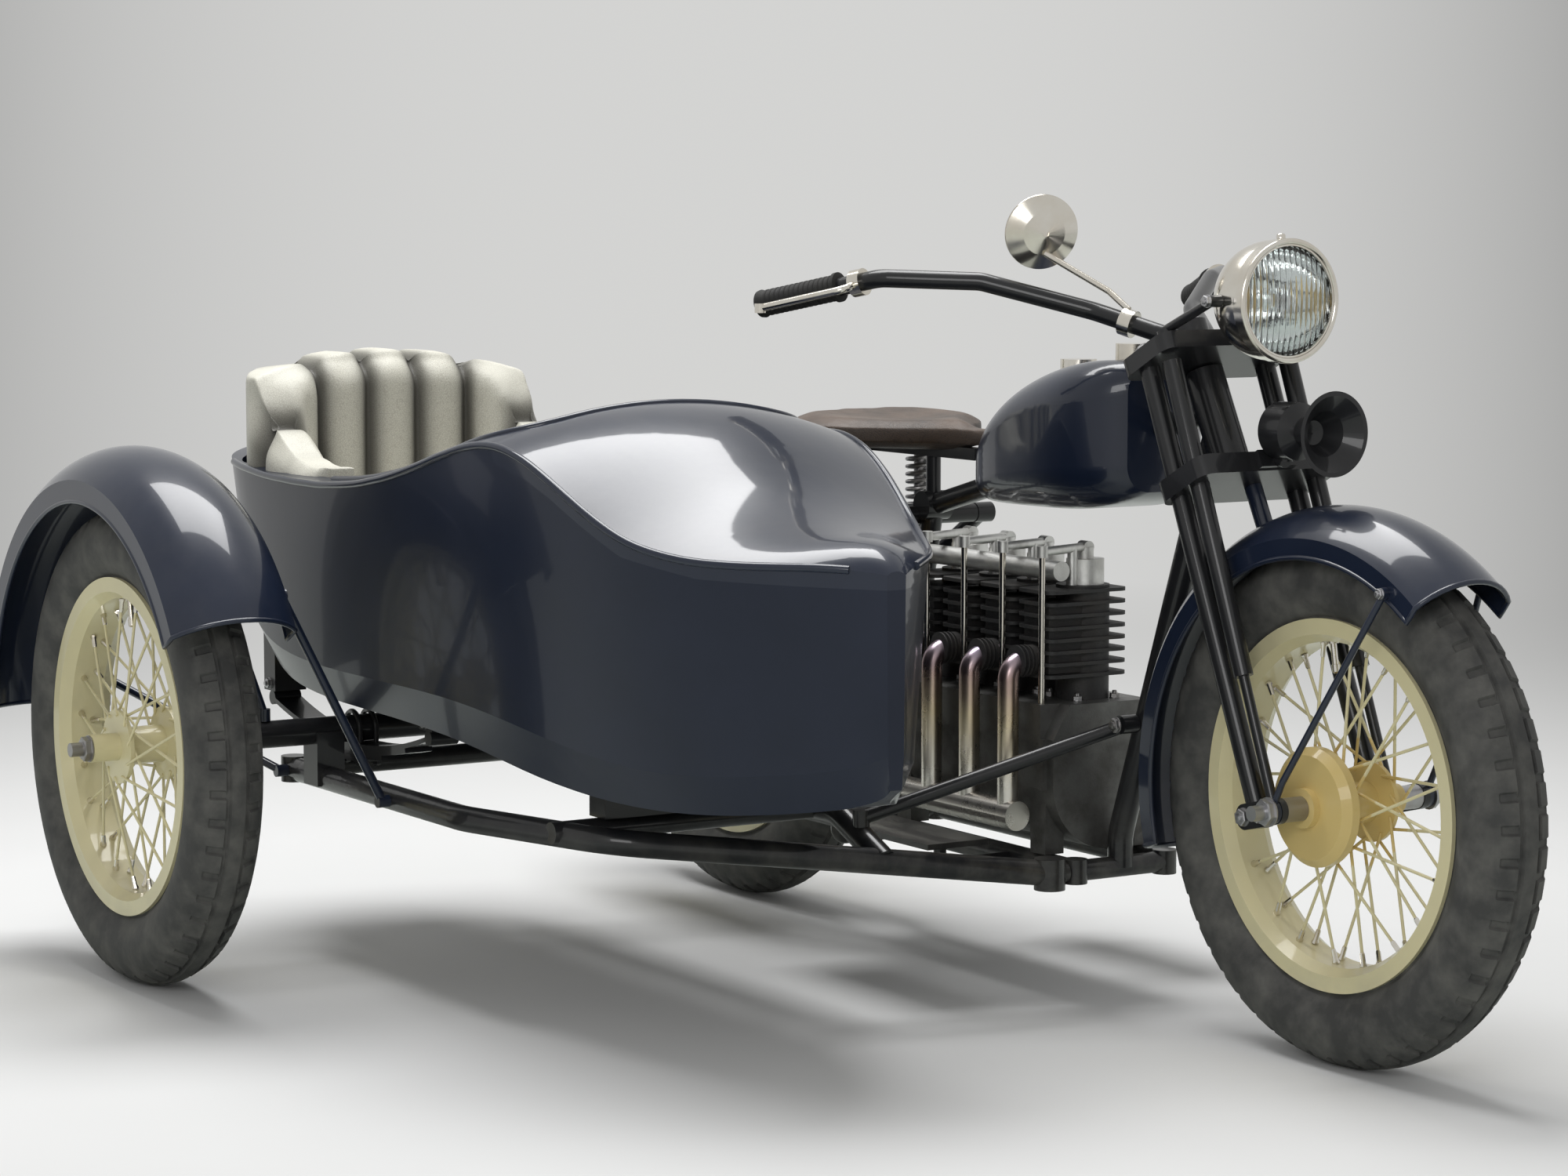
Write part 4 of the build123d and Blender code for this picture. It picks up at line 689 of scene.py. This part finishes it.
def relax(mesh, times):
    """Evens out the steps that the voxels leave."""
    work = bmesh.new()
    work.from_mesh(mesh)
    for _ in range(times):
        bmesh.ops.smooth_vert(work, verts=work.verts, factor=0.5, use_axis_x=True, use_axis_y=True,
                              use_axis_z=True)
    work.to_mesh(mesh)
    work.free()
    mesh.update()


def even_out(mesh, values, times):
    """Averages a number at each point with its neighbours along the edges."""
    ends = np.empty(len(mesh.edges) * 2, dtype=int)
    mesh.edges.foreach_get("vertices", ends)
    first, second = ends.reshape(-1, 2).T
    count = len(values)
    beside = np.bincount(ends, minlength=count)
    for _ in range(times):
        total = np.bincount(first, values[second], count) + np.bincount(second, values[first], count)
        values = (values + total / np.maximum(beside, 1)) / 2
    return values


def stuffed(name, node, cut_height, voxel, drawn_in, cap):
    """A pad from a CAD node: all lengths in millimetres, cap for how far it may swell."""
    mesh = nodes[node].data.copy()
    mesh.transform(nodes[node].matrix_world)
    work = bmesh.new()
    work.from_mesh(mesh)
    bmesh.ops.remove_doubles(work, verts=work.verts, dist=1e-5)
    if cut_height:
        every = work.verts[:] + work.edges[:] + work.faces[:]
        cut = bmesh.ops.bisect_plane(work, geom=every, plane_co=(0, 0, cut_height / 1000), plane_no=(0, 0, 1),
                                     clear_inner=True)
        rim = [e for e in cut["geom_cut"] if isinstance(e, bmesh.types.BMEdge)]
        bmesh.ops.contextual_create(work, geom=rim)
    work.to_mesh(mesh)
    work.free()
    made = bpy.data.objects.new(name, mesh)
    bpy.context.scene.collection.objects.link(made)
    remesh = made.modifiers.new("voxels", "REMESH")
    remesh.mode = "VOXEL"
    remesh.voxel_size = voxel / 1000
    settle(made)
    relax(made.data, 5)
    outward = numbers(made.data, "normal")
    start = numbers(made.data, "co") - outward * (drawn_in / 1000)
    put_points(made.data, start)
    cloth = made.modifiers.new("stuffing", "CLOTH")
    cloth.settings.use_pressure = True
    cloth.settings.uniform_pressure_force = PRESSURE
    cloth.settings.effector_weights.gravity = 0.0
    for count in range(1, CLOTH_FRAMES + 1):
        bpy.context.scene.frame_set(count)
    settle(made)
    swell = np.sum((numbers(made.data, "co") - start) * outward, axis=1)
    swell = even_out(made.data, np.clip(swell, 0.0, cap / 1000), 6)
    put_points(made.data, start + outward * swell[:, None])
    relax(made.data, 3)
    print(name, "swells by up to", round(float(swell.max()) * 1000, 1), "mm")
    bpy.context.scene.frame_set(1)
    made.modifiers.new("finer", "SUBSURF").levels = 1
    settle(made)
    return made


def channels(made, across, share, spacing, depth, puff):
    """Presses sewn lines into a pad.

    across is each point's place over the channels, and share how far it takes part.
    """
    points = numbers(made.data, "co")
    columns = numbers(made.data, "normal").T
    normals = np.stack([even_out(made.data, column, 12) for column in columns], axis=1)
    normals /= np.maximum(np.linalg.norm(normals, axis=1, keepdims=True), 1e-6)
    step = (across / spacing) % 1.0
    away = spacing * np.minimum(step, 1.0 - step)
    sink = depth * np.exp(-(away / SEAM_WIDTH) ** 2) - puff * np.sin(np.pi * step)
    put_points(made.data, points - normals * (sink * share / 1000)[:, None])
    relax(made.data, 1)
    # The groove attribute is painted shade along each channel, wider than the pressed line.
    shade = made.data.attributes.new("groove", "FLOAT", "POINT")
    shade.data.foreach_set("value", np.exp(-(away / SHADE_WIDTH) ** 2) * share)


def upholster(made, node, body, hide):
    """Covers a pad with a hide and lets it stand for its CAD node."""
    made.data.materials.clear()
    made.data.materials.append(hide)
    made.data.shade_smooth()
    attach(made, body)
    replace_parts(made, node)
    print(made.name, len(made.data.polygons), "faces")


print("stuffing ready")

# %% [markdown]
# The passenger's seat is a flat cushion with channels that run fore and aft, and a back that wraps round to
# two short arms. The back's channels stand upright, so a point's place over them is measured along the plan
# of the inner face: along the straight arms, then round the arc behind.

# %% Sidecar seat
BODY_Y = -600.0
BACK_FLAT = 114.0
CORNER_X = -763.0
CORNER_R = 62.0
CHANNEL = 84.0


def drawing(rows):
    """Points of the model, back in the drawing's millimetres."""
    return (rows - np.array(SHIFT)) * 1000


cushion = stuffed("seat_cushion_pad", "seat_cushion", 540.0, 6.0, 7.0, 16.0)
place = drawing(numbers(cushion.data, "co"))
facing = numbers(cushion.data, "normal")
share = np.clip(np.maximum(facing[:, 2], facing[:, 0] * 0.8) * 1.6 - 0.2, 0, 1)
channels(cushion, place[:, 1] - BODY_Y + CHANNEL / 2, share, CHANNEL, 11.0, 4.0)
upholster(cushion, "seat_cushion", "outfit", seat_leather)

back = stuffed("seat_back_pad", "seat_back", 560.0, 6.0, 9.0, 20.0)
place = drawing(numbers(back.data, "co"))
facing = numbers(back.data, "normal")
side = place[:, 1] - BODY_Y
turn = np.arctan2(np.maximum(np.abs(side) - BACK_FLAT, 0), np.maximum(CORNER_X - place[:, 0], 1e-6))
along = np.minimum(np.abs(side), BACK_FLAT) + CORNER_R * turn + np.maximum(place[:, 0] - CORNER_X, 0)
share = np.clip(facing[:, 2] * 2.0 + 1.6, 0, 1) * np.clip((place[:, 2] - 575) / 30, 0, 1)
share *= np.clip(1.0 - (place[:, 0] - CORNER_X) / 70, 0.12, 1.0)
channels(back, np.sign(side) * along + CHANNEL / 2, share, CHANNEL, 14.0, 5.0)
upholster(back, "seat_back", "outfit", seat_leather)

# %% [markdown]
# The rider's saddle is one hide over a sprung pan: broad behind, narrow in front, dished in the middle and
# turned up a little at the back.

# %% Saddle
saddle = stuffed("saddle_pad", "saddle", None, 5.0, 5.0, 12.0)
place = drawing(numbers(saddle.data, "co"))
behind = np.clip((-place[:, 0] - 240) / 200, 0, 1)
middle = np.exp(-((place[:, 0] + 290) / 90) ** 2) * np.exp(-(place[:, 1] / 90) ** 2)
upper = np.clip((place[:, 2] - 764) / 26, 0, 1)
rise = 9.0 * behind ** 3 * upper - 8.0 * middle * upper
place[:, 2] += rise
put_points(saddle.data, place / 1000 + np.array(SHIFT))
upholster(saddle, "saddle", "outfit", saddle_leather)

# %% [markdown]
# Each coil spring under the saddle is a wire, made as a tube along a helix. A rod runs up its middle, and it
# has a cup at each end.

# %% Saddle springs
SPRING_X = -380.0
SPRING_Y = 84.0
SPRING_FOOT = 640.0
SPRING_HEAD = 742.0
TURNS = 7.5
TURN_STEPS = 18
COIL_R = 18
WIRE_R = 3.4
CUP = [(0, 21), (4.0, 21)]
shapes = Shapes()
for side in (-1, 1):
    path = []
    for step in range(int(TURNS * TURN_STEPS) + 1):
        turn = 2 * math.pi * step / TURN_STEPS
        share = step / (TURNS * TURN_STEPS)
        height = SPRING_FOOT + 7 + (SPRING_HEAD - SPRING_FOOT - 14) * share
        path.append(at(SPRING_X + COIL_R * math.cos(turn), side * SPRING_Y + COIL_R * math.sin(turn), height))
    shapes.tube(path, WIRE_R, 8)
    for height in (SPRING_FOOT + 0.3, SPRING_HEAD - 4.3):
        shapes.turned(at(SPRING_X, side * SPRING_Y, height), (0, 0, 1), CUP, 24)
    shapes.turned(at(SPRING_X, side * SPRING_Y, SPRING_FOOT + 1), (0, 0, 1), [(0, 8), (100, 8)], 14)
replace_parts(shapes.make("saddle_coils", "outfit", steel), "saddle_springs")

# %% [markdown]
# A roller chain alternates wide and narrow links. The pitch line runs straight between the sprockets and
# round each, so its length is cut into equal steps, and every step carries a roller and a pair of plates.

# %% Drive chain
SPROCKET_Y = 82.0
SMALL = (-272.0, 300.0, 48.0)
BIG = (REAR_X, AXLE_Z, 102.0)


def chain_line(count):
    """Equally spaced points on the loop round the two sprockets, in the plane of the chain."""
    sx, sz, sr = SMALL
    bx, bz, br = BIG
    reach = math.hypot(bx - sx, bz - sz)
    heading = math.atan2(bz - sz, bx - sx)
    lean = math.acos((sr - br) / reach)
    outline = []
    for k in range(200):
        turn = heading + lean + (2 * math.pi - 2 * lean) * k / 199
        outline.append((sx + sr * math.cos(turn), sz + sr * math.sin(turn)))
    for k in range(400):
        turn = heading - lean + 2 * lean * k / 399
        outline.append((bx + br * math.cos(turn), bz + br * math.sin(turn)))
    outline.append(outline[0])
    gone = [0.0]
    for (ax, az), (cx, cz) in zip(outline, outline[1:]):
        gone.append(gone[-1] + math.hypot(cx - ax, cz - az))
    steps = [gone[-1] * k / count for k in range(count)]
    xs = np.interp(steps, gone, [p[0] for p in outline])
    zs = np.interp(steps, gone, [p[1] for p in outline])
    return list(zip(xs, zs)), gone[-1] / count


LINKS = 90
ROLLER = [(0, 2.4), (1.2, 2.4), (1.3, 4.2), (8.5, 4.2), (8.6, 2.4), (9.8, 2.4)]
PLATE_R = 0.0052
PLATE = 1.2
pins, pitch = chain_line(LINKS)
shapes = Shapes()
for k, (x, z) in enumerate(pins):
    nx, nz = pins[(k + 1) % LINKS]
    start = at(x, SPROCKET_Y, z)
    end = at(nx, SPROCKET_Y, nz)
    run = (end - start).normalized()
    rise = Vector((0, 1, 0)).cross(run)
    shapes.turned(start - Vector((0, 0.0049, 0)), (0, 1, 0), ROLLER, 10)
    inside = 2.0 if k % 2 else 3.3
    for side in (-1, 1):
        outline = []
        for j in range(6):
            turn = math.pi / 2 + math.pi * j / 5
            outline.append(start + (run * math.cos(turn) + rise * math.sin(turn)) * PLATE_R)
        for j in range(6):
            turn = -math.pi / 2 + math.pi * j / 5
            outline.append(end + (run * math.cos(turn) + rise * math.sin(turn)) * PLATE_R)
        low, high = sorted((side * inside, side * (inside + PLATE)))
        shapes.rings([[p + Vector((0, low / 1000, 0)) for p in outline],
                      [p + Vector((0, high / 1000, 0)) for p in outline]])
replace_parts(shapes.make("chain_links", "outfit", steel), "drive_chain")
print("chain pitch", round(pitch, 2))

# %% [markdown]
# Sheet edges are wired: the edge is rolled over a wire, which stiffens it and leaves a round bead. On a
# mudguard the bead runs along one skirt, over the crown at the tail, back along the other skirt and over the
# crown at the front, as one closed loop. The table gives each guard's body, its wheel's place, then the
# crown's radius, half width and drop, the skirt's radius, and the angles of its front and rear ends.

# %% Wired edges of the mudguards
HALF_SHEET = 1.5
GUARDS = [
    ("front", "steering", FRONT_X, 0.0, 388.0, 78.0, 40.0, 322.0, 53.0, 196.0),
    ("rear", "outfit", REAR_X, 0.0, 392.0, 76.0, 40.0, 325.0, 8.0, 172.0),
    ("sidecar", "outfit", SIDE_X, SIDE_Y, 430.0, 92.0, 46.0, 352.0, 30.0, 178.0),
]
for name, body, x, y, crown_r, half, drop, skirt, front, rear in GUARDS:
    edge = half - HALF_SHEET
    over = arc((crown_r - drop, -edge), (crown_r - HALF_SHEET, 0), (crown_r - drop, edge), 15)
    profile = [(skirt + 14, -edge)] + over + [(skirt + 14, edge)]
    sweep = [front + (rear - front) * k / 60 for k in range(61)]
    path = [wheel_point(x, y, skirt + 1, a, edge) for a in sweep]
    path += [wheel_point(x, y, r, rear, across) for r, across in reversed(profile)]
    path += [wheel_point(x, y, skirt + 1, a, -edge) for a in reversed(sweep)]
    path += [wheel_point(x, y, r, front, across) for r, across in profile]
    shapes = Shapes()
    shapes.tube(path, 3.6, 8, closed=True)
    shapes.make(name + "_guard_bead", body, navy, ROUND)

# %% [markdown]
# The sidecar's deck meets its sides in a moulding. Where exactly, the loft decides, so rays are cast at the
# CAD panels from the side, from above downwards: on the crowned deck each ray lands much further in than the
# next, and on the side all land alike. The first of these is the edge.

# %% Mouldings of the sidecar body
body_points = []
body_faces = []
for name in ("sidecar_hull", "sidecar_deck"):
    start = len(body_points)
    body_points += [nodes[name].matrix_world @ v.co for v in nodes[name].data.vertices]
    body_faces += [[start + k for k in face.vertices] for face in nodes[name].data.polygons]
panels = BVHTree.FromPolygons(body_points, body_faces)
GUNWALE = [(-900, 728), (-780, 719), (-640, 714), (-400, 722), (-270, 742), (-120, 778), (40, 800),
           (160, 762), (290, 694), (480, 668), (560, 662)]


def panel_side(x, z, side):
    """How far out the panels reach at a height."""
    hit = panels.ray_cast(at(x, BODY_Y + side * 500, z), Vector((0, -side, 0)), 0.5)[0]
    return None if hit is None else abs((hit.y - SHIFT.y) * 1000 - BODY_Y)


def gunwale(x, side):
    """The edge between deck and side, searched downwards from a little above where it should be."""
    guess = float(np.interp(x, [p[0] for p in GUNWALE], [p[1] for p in GUNWALE]))
    before = None
    for step in range(40):
        z = guess + 24 - 1.5 * step
        reach = panel_side(x, z, side)
        if reach is not None and before is not None and abs(reach - before) < 1.0:
            return at(x, BODY_Y + side * reach, z + 1.5)
        before = reach
    return None


shapes = Shapes()
for side in (-1, 1):
    path = [gunwale(x, side) for x in range(-880, 561, 15)]
    path = [p for p in path if p is not None]
    for _ in range(3):
        path = [path[0]] + [(a + b * 2 + c) / 4 for a, b, c in zip(path, path[1:], path[2:])] + [path[-1]]
    shapes.tube(path, 5.5, 10)
shapes.make("gunwale_mouldings", "outfit", navy, ROUND)

# %% Wired edge of the cockpit
COCKPIT_FRONT = 28.0
COCKPIT_HALF = 238.0
COCKPIT_CORNER = 84.0
plan = [(x, COCKPIT_HALF) for x in range(-520, int(COCKPIT_FRONT - COCKPIT_CORNER), 20)]
for k in range(13):
    turn = math.pi / 2 * (1 - k / 12)
    plan.append((COCKPIT_FRONT - COCKPIT_CORNER + COCKPIT_CORNER * math.cos(turn),
                 COCKPIT_HALF - COCKPIT_CORNER + COCKPIT_CORNER * math.sin(turn)))
plan += [(COCKPIT_FRONT, y) for y in range(140, 0, -20)]
plan = plan + [(COCKPIT_FRONT, 0.0)] + [(x, -y) for x, y in reversed(plan)]
path = []
for x, y in plan:
    inner_y = math.copysign(min(abs(y), COCKPIT_HALF - COCKPIT_CORNER), y)
    outward = Vector((max(0.0, x - COCKPIT_FRONT + COCKPIT_CORNER), y - inner_y, 0))
    outward = outward.normalized() if outward.length else Vector((1, 0, 0))
    hit = panels.ray_cast(at(x + outward.x * 5, BODY_Y + y + outward.y * 5, 1000), Vector((0, 0, -1)), 0.5)[0]
    if hit is not None:
        path.append(hit - Vector((0, 0, 0.001)))
shapes = Shapes()
shapes.tube(path, 5.5, 10)
shapes.make("cockpit_edge", "outfit", navy, ROUND)

# %% [markdown]
# The headlamp has a beaded rim and a silvered bowl, with a bulb in a brass socket in the middle of it. The
# tail lamp has a ruby lens, and the mirror a silvered disc that looks back at the rider.

# %% Lamps and mirror
LAMP_FRONT = 600.0
LAMP_Z = 992.0
LAMP_R = 78.0
shapes = Shapes()
shapes.turned(at(LAMP_FRONT - 89, 0, LAMP_Z), (1, 0, 0), [(0, 14), (20, 14), (22, 10), (40, 10), (42, 8)], 24)
shapes.make("bulb_socket", "steering", brass)
shapes = Shapes()
bowl = [(-86, 4), (-80, 25), (-64, 45), (-44, 58), (-20, 67), (4, 70.5)]
shapes.turned(at(LAMP_FRONT, 0, LAMP_Z), (1, 0, 0), bowl + [(a, r - 1.2) for a, r in reversed(bowl)], 64)
shapes.make("reflector", "steering", mirror_glass, ROUND)
shapes = Shapes()
bulb = [(0, 8), (7, 10), (14, 13), (21, 14), (28, 12), (34, 8), (37, 2)]
shapes.turned(at(LAMP_FRONT - 47, 0, LAMP_Z), (1, 0, 0), bulb, 24)
shapes.make("bulb", "steering", lamp_glass)
rim_ring = [at(LAMP_FRONT + 15, LAMP_R * math.cos(a), LAMP_Z + LAMP_R * math.sin(a))
            for a in angles(72)]
shapes = Shapes()
shapes.tube(rim_ring, 4.0, 10, closed=True)
shapes.turned(at(LAMP_FRONT - 4, 0, LAMP_Z + LAMP_R + 5), (0, 0, 1), [(-4, 6), (3, 6), (5, 4)], 12)
shapes.make("headlamp_rim", "steering", nickel, ROUND)

TAIL_X = -1156.0
TAIL_Z = 551.0
TAIL_R = 28
shapes = Shapes()
shapes.turned(at(TAIL_X, 0, TAIL_Z), (-1, 0, 0), [(-3, 25), (2, 25), (6, 22), (9, 14), (10, 4)], 32)
shapes.make("tail_lens", "outfit", ruby_glass)
shapes = Shapes()
tail_ring = [at(TAIL_X, TAIL_R * math.cos(a), TAIL_Z + TAIL_R * math.sin(a)) for a in angles(40)]
shapes.tube(tail_ring, 3.0, 8, closed=True)
shapes.make("tail_lamp_rim", "outfit", nickel, ROUND)

MIRROR = (222.0, -118.0, 1080.0)
MIRROR_FACE = Vector((-0.939, 0.280, 0.200))
shapes = Shapes()
shapes.turned(at(*MIRROR), MIRROR_FACE, [(-1, 47.5), (1.2, 47.5), (1.6, 46.5)], 48)
shapes.make("mirror_glass", "steering", mirror_glass)
shapes = Shapes()
axis, first, second = frame_of(MIRROR_FACE)
mirror_ring = [at(*MIRROR) + (first * math.cos(a) + second * math.sin(a)) * 0.050 + axis * 0.0005
               for a in angles(60)]
shapes.tube(mirror_ring, 2.6, 8, closed=True)
shapes.make("mirror_rim", "steering", nickel, ROUND)

# %% [markdown]
# Rubber grips are moulded with rings and a thick flange at each end.

# %% Grip rings
GRIP_END = Vector((-75.0, 380.0, 979.0))
GRIP_LEAN = Vector((0.887768, -0.417773, 0.19322))
outline = [(-9.5, 12), (-9.0, 19), (-4, 20), (0, 18)]
for count in range(14):
    low = 2 + count * 8.2
    outline += [(low, 17.3), (low + 1.8, 17.3), (low + 3.0, 18.6), (low + 6.0, 18.6), (low + 7.2, 17.3)]
outline += [(119, 17.4), (120, 21), (125, 21), (126, 17.2), (126.2, 13.2)]
for side in (-1, 1):
    shapes = Shapes()
    root = at(GRIP_END.x, side * GRIP_END.y, GRIP_END.z)
    lean = Vector((GRIP_LEAN.x, side * GRIP_LEAN.y, GRIP_LEAN.z))
    shapes.turned(root, lean, outline, 28)
    name = "grip_rings_left" if side > 0 else "grip_rings_right"
    shapes.make(name, "steering", grip_rubber, math.radians(40))

# %% [markdown]
# Nuts and bolts hold the machine together. Each is given by its place; where one sits on a panel, a ray from
# outside finds the face that it lies on, so that none floats or sinks.


# %% Nuts and bolts
def tree_of(name):
    mesh = nodes[name].data
    return BVHTree.FromPolygons([nodes[name].matrix_world @ v.co for v in mesh.vertices],
                                [tuple(face.vertices) for face in mesh.polygons])


def bolted(shapes, name, x, z, side, across, height, reach=700.0, y=0.0):
    """A nut on the face of a piece that a line across the machine meets first from one side."""
    hit = tree_of(name).ray_cast(at(x, y + side * reach, z), Vector((0, -side, 0)), 2 * reach / 1000)[0]
    if hit is not None:
        shapes.hex_nut(hit, (0, side, 0), across, height, 3)


SPRING_FOOT_AHEAD = 1.886
PIVOT = (384.956, -30.114)
AXLE_NUT = 31.0
AXLE_NUT_HIGH = 11.3
BORES = (-124, -28, 68, 164)
turning = Shapes()
fixed = Shapes()
for side in (-1, 1):
    turning.hex_nut(at(FRONT_X, side * 133.4, AXLE_Z), (0, side, 0), AXLE_NUT, AXLE_NUT_HIGH)
    fixed.hex_nut(at(REAR_X, side * 135.4, AXLE_Z), (0, side, 0), AXLE_NUT, AXLE_NUT_HIGH)
    for along, ahead in (PIVOT, (PIVOT[0] - 7, SPRING_FOOT_AHEAD)):
        turning.hex_nut(at(*fork_point(along, ahead, side * 124.0)), (0, side, 0), 20.0, 8.0, 3)
    turning.hex_nut(at(*fork_point(1026, 12, side * 98)), UP, 22.0, 9.0, 4)
    turning.hex_nut(at(LAMP_FRONT - 30, side * (LAMP_R + 22), LAMP_Z), (0, side, 0), 14.0, 6.0, 2)
    bolted(turning, "front_mudguard", 904.9, 636.4, side, 12.0, 5.0)
    bolted(fixed, "rear_mudguard", -1036.6, 524.1, side, 12.0, 5.0)
    for x in (-322, -262, -212):
        for z in (228, 356):
            bolted(fixed, "gearbox", x, z, side, 11.0, 5.0)
turning.hex_nut(at(*fork_point(1072, 0)), UP, 26.0, 8.0, 5)
fixed.hex_nut(at(SIDE_X, -1201.6, AXLE_Z), (0, -1, 0), AXLE_NUT, AXLE_NUT_HIGH)
bolted(fixed, "sidecar_struts", 313.4, 400, -1, 18.0, 7.0)
bolted(fixed, "sidecar_struts", -235, 652, -1, 18.0, 7.0)
for bore in BORES:
    for dx in (-33, 33):
        for dy in (-33, 33):
            fixed.hex_nut(at(bore + dx, dy, 420), (0, 0, 1), 12.0, 7.0, 4)
for x in (-850, -316):
    bolted(fixed, "sidecar_brackets", x, 384, -1, 14.0, 6.0, y=BODY_Y)
turning.make("steering_nuts", "steering", steel)
fixed.make("outfit_nuts", "outfit", steel)

# %% [markdown]
# The leaf springs are clamped to the axle tube by pairs of bent bolts with a plate under the leaves. The
# exhaust stubs have finned clamp rings where they meet the ports.

# %% Spring clamps and pipe rings
LEAF_LOW = 303.7
LEAF_YS = (-425.0, -775.0)
BOW_R = 25
BOW_FOOT = LEAF_LOW - 14
CLAMP_PLATE = ((-36, -21), (36, -21), (36, 21), (-36, 21))
CLAMP_RING = [(0, 15.5), (0.5, 23), (3, 23), (3.5, 15.5)]
shapes = Shapes()
for leaf_y in LEAF_YS:
    for y in (leaf_y - 13, leaf_y + 13):
        path = [at(SIDE_X - BOW_R, y, BOW_FOOT), at(SIDE_X - BOW_R, y, AXLE_Z)]
        for k in range(1, 12):
            turn = math.pi * k / 12
            path.append(at(SIDE_X - BOW_R * math.cos(turn), y, AXLE_Z + BOW_R * math.sin(turn)))
        path += [at(SIDE_X + BOW_R, y, AXLE_Z), at(SIDE_X + BOW_R, y, BOW_FOOT)]
        shapes.tube(path, 4.0, 10)
        for x in (SIDE_X - BOW_R, SIDE_X + BOW_R):
            shapes.hex_nut(at(x, y, LEAF_LOW - 6.2), (0, 0, -1), 13.0, 6.0)
    low = [at(SIDE_X + dx, leaf_y + dy, LEAF_LOW - 6) for dx, dy in CLAMP_PLATE]
    shapes.rings([low, [p + Vector((0, 0, 0.0058)) for p in low]])
shapes.make("spring_clamps", "outfit", black)
shapes = Shapes()
for bore in BORES:
    for count in range(3):
        shapes.turned(at(bore, -99 - count * 7, 478), (0, -1, 0), CLAMP_RING, 24)
shapes.make("exhaust_rings", "outfit", iron)

# %% [markdown]
# The floor is pale and plain. Far from the object it fades into the background's colour, so that no horizon
# shows, and near it keeps the shadow. The main lamp is wide and stands behind and above, as a bright sky
# does, so that decks and mudguards shine along their tops while their sides stay dark. The background's
# colour is for the camera, metal and glass only; less light than that reaches the surfaces. The floor too
# is paler to the camera than it is to the light that it throws back. To the camera alone the background
# darkens towards the picture's sides, as it does in the photograph.

# %% Stage and light
BACKDROP = (0.655, 0.655, 0.645)
EDGE_FALL = 0.33
FLOOR_HALF = 40.0
SEEN = ("Camera", "Glossy", "Transmission")
SKY_LIGHT = 0.56


def rays(tree, *kinds):
    """1 for rays of the kinds named, 0 for others."""
    path_node = tree.nodes.new("ShaderNodeLightPath")
    total = 0.0
    for kind in kinds:
        total = Signal(tree, path_node.outputs[f"Is {kind} Ray"]) + total
    return total.clamp()


def edge_fall(tree):
    """How much darker the background is to the camera towards the left and right edges of the picture."""
    window = Signal(tree, tree.nodes.new("ShaderNodeTexCoord").outputs["Window"])
    aside = (split(tree, window)[0] - 0.48) * 2.0
    return (aside * aside) ** 1.5 * EDGE_FALL * rays(tree, "Camera")


floor_mesh = bpy.data.meshes.new("floor")
corners = [(x * FLOOR_HALF, y * FLOOR_HALF, 0) for x, y in ((-1, -1), (1, -1), (1, 1), (-1, 1))]
floor_mesh.from_pydata(corners, [], [(0, 1, 2, 3)])
floor = bpy.data.objects.new("floor", floor_mesh)
bpy.context.scene.collection.objects.link(floor)
ground = Finish("pale_floor", Roughness=0.85, Specular_IOR_Level=0.2)
patches = ground.noise(1.5, 4.0)
bounce = ground.blend(patches, (0.62, 0.66, 0.62), (0.67, 0.70, 0.67))
shown = ground.blend(patches, (0.74, 0.745, 0.74), (0.785, 0.785, 0.785))
ground.feed(Base_Color=ground.blend(rays(ground.tree, "Camera"), bounce, shown))
east, north, _ = ground.axes()
distance = (east * east + north * north) ** 0.5
glow = ground.node("Emission", Color=BACKDROP, Strength=1.0 - edge_fall(ground.tree))
fade = ground.node("MixShader", out="Shader", Fac=ground.ramp(distance, 1.6, 6.0) * rays(ground.tree, *SEEN))
mixer = fade.socket.node
ground.tree.links.new(ground.shader.outputs[0], mixer.inputs[1])
ground.tree.links.new(glow.socket, mixer.inputs[2])
ground.tree.links.new(fade.socket, ground.tree.nodes["Material Output"].inputs["Surface"])
floor_mesh.materials.append(ground.material)

world = bpy.data.worlds.new("studio")
bpy.context.scene.world = world
world.use_nodes = True
sky_tree = world.node_tree
sky = sky_tree.nodes["Background"]
sky.inputs["Color"].default_value = (*BACKDROP, 1.0)
strength = SKY_LIGHT + rays(sky_tree, *SEEN) * (1.0 - SKY_LIGHT)
plug(sky_tree, sky.inputs["Strength"], strength * (1.0 - edge_fall(sky_tree)))


def soft_lamp(name, place, aim, width, power):
    data = bpy.data.lights.new(name, "AREA")
    data.shape = "RECTANGLE"
    data.size = width
    data.size_y = width * 0.7
    data.energy = power
    made = bpy.data.objects.new(name, data)
    bpy.context.scene.collection.objects.link(made)
    made.location = place
    made.rotation_mode = "QUATERNION"
    made.rotation_quaternion = (Vector(aim) - Vector(place)).to_track_quat("-Z", "Y")


soft_lamp("overhead", (-1.2, 0.2, 4.5), (0.0, -0.1, 0.5), 3.2, 205.0)
soft_lamp("front_fill", (4.2, -3.8, 2.6), (0.0, -0.2, 0.5), 2.6, 72.0)
bpy.context.scene.view_settings.view_transform = "Standard"
print("stage set")
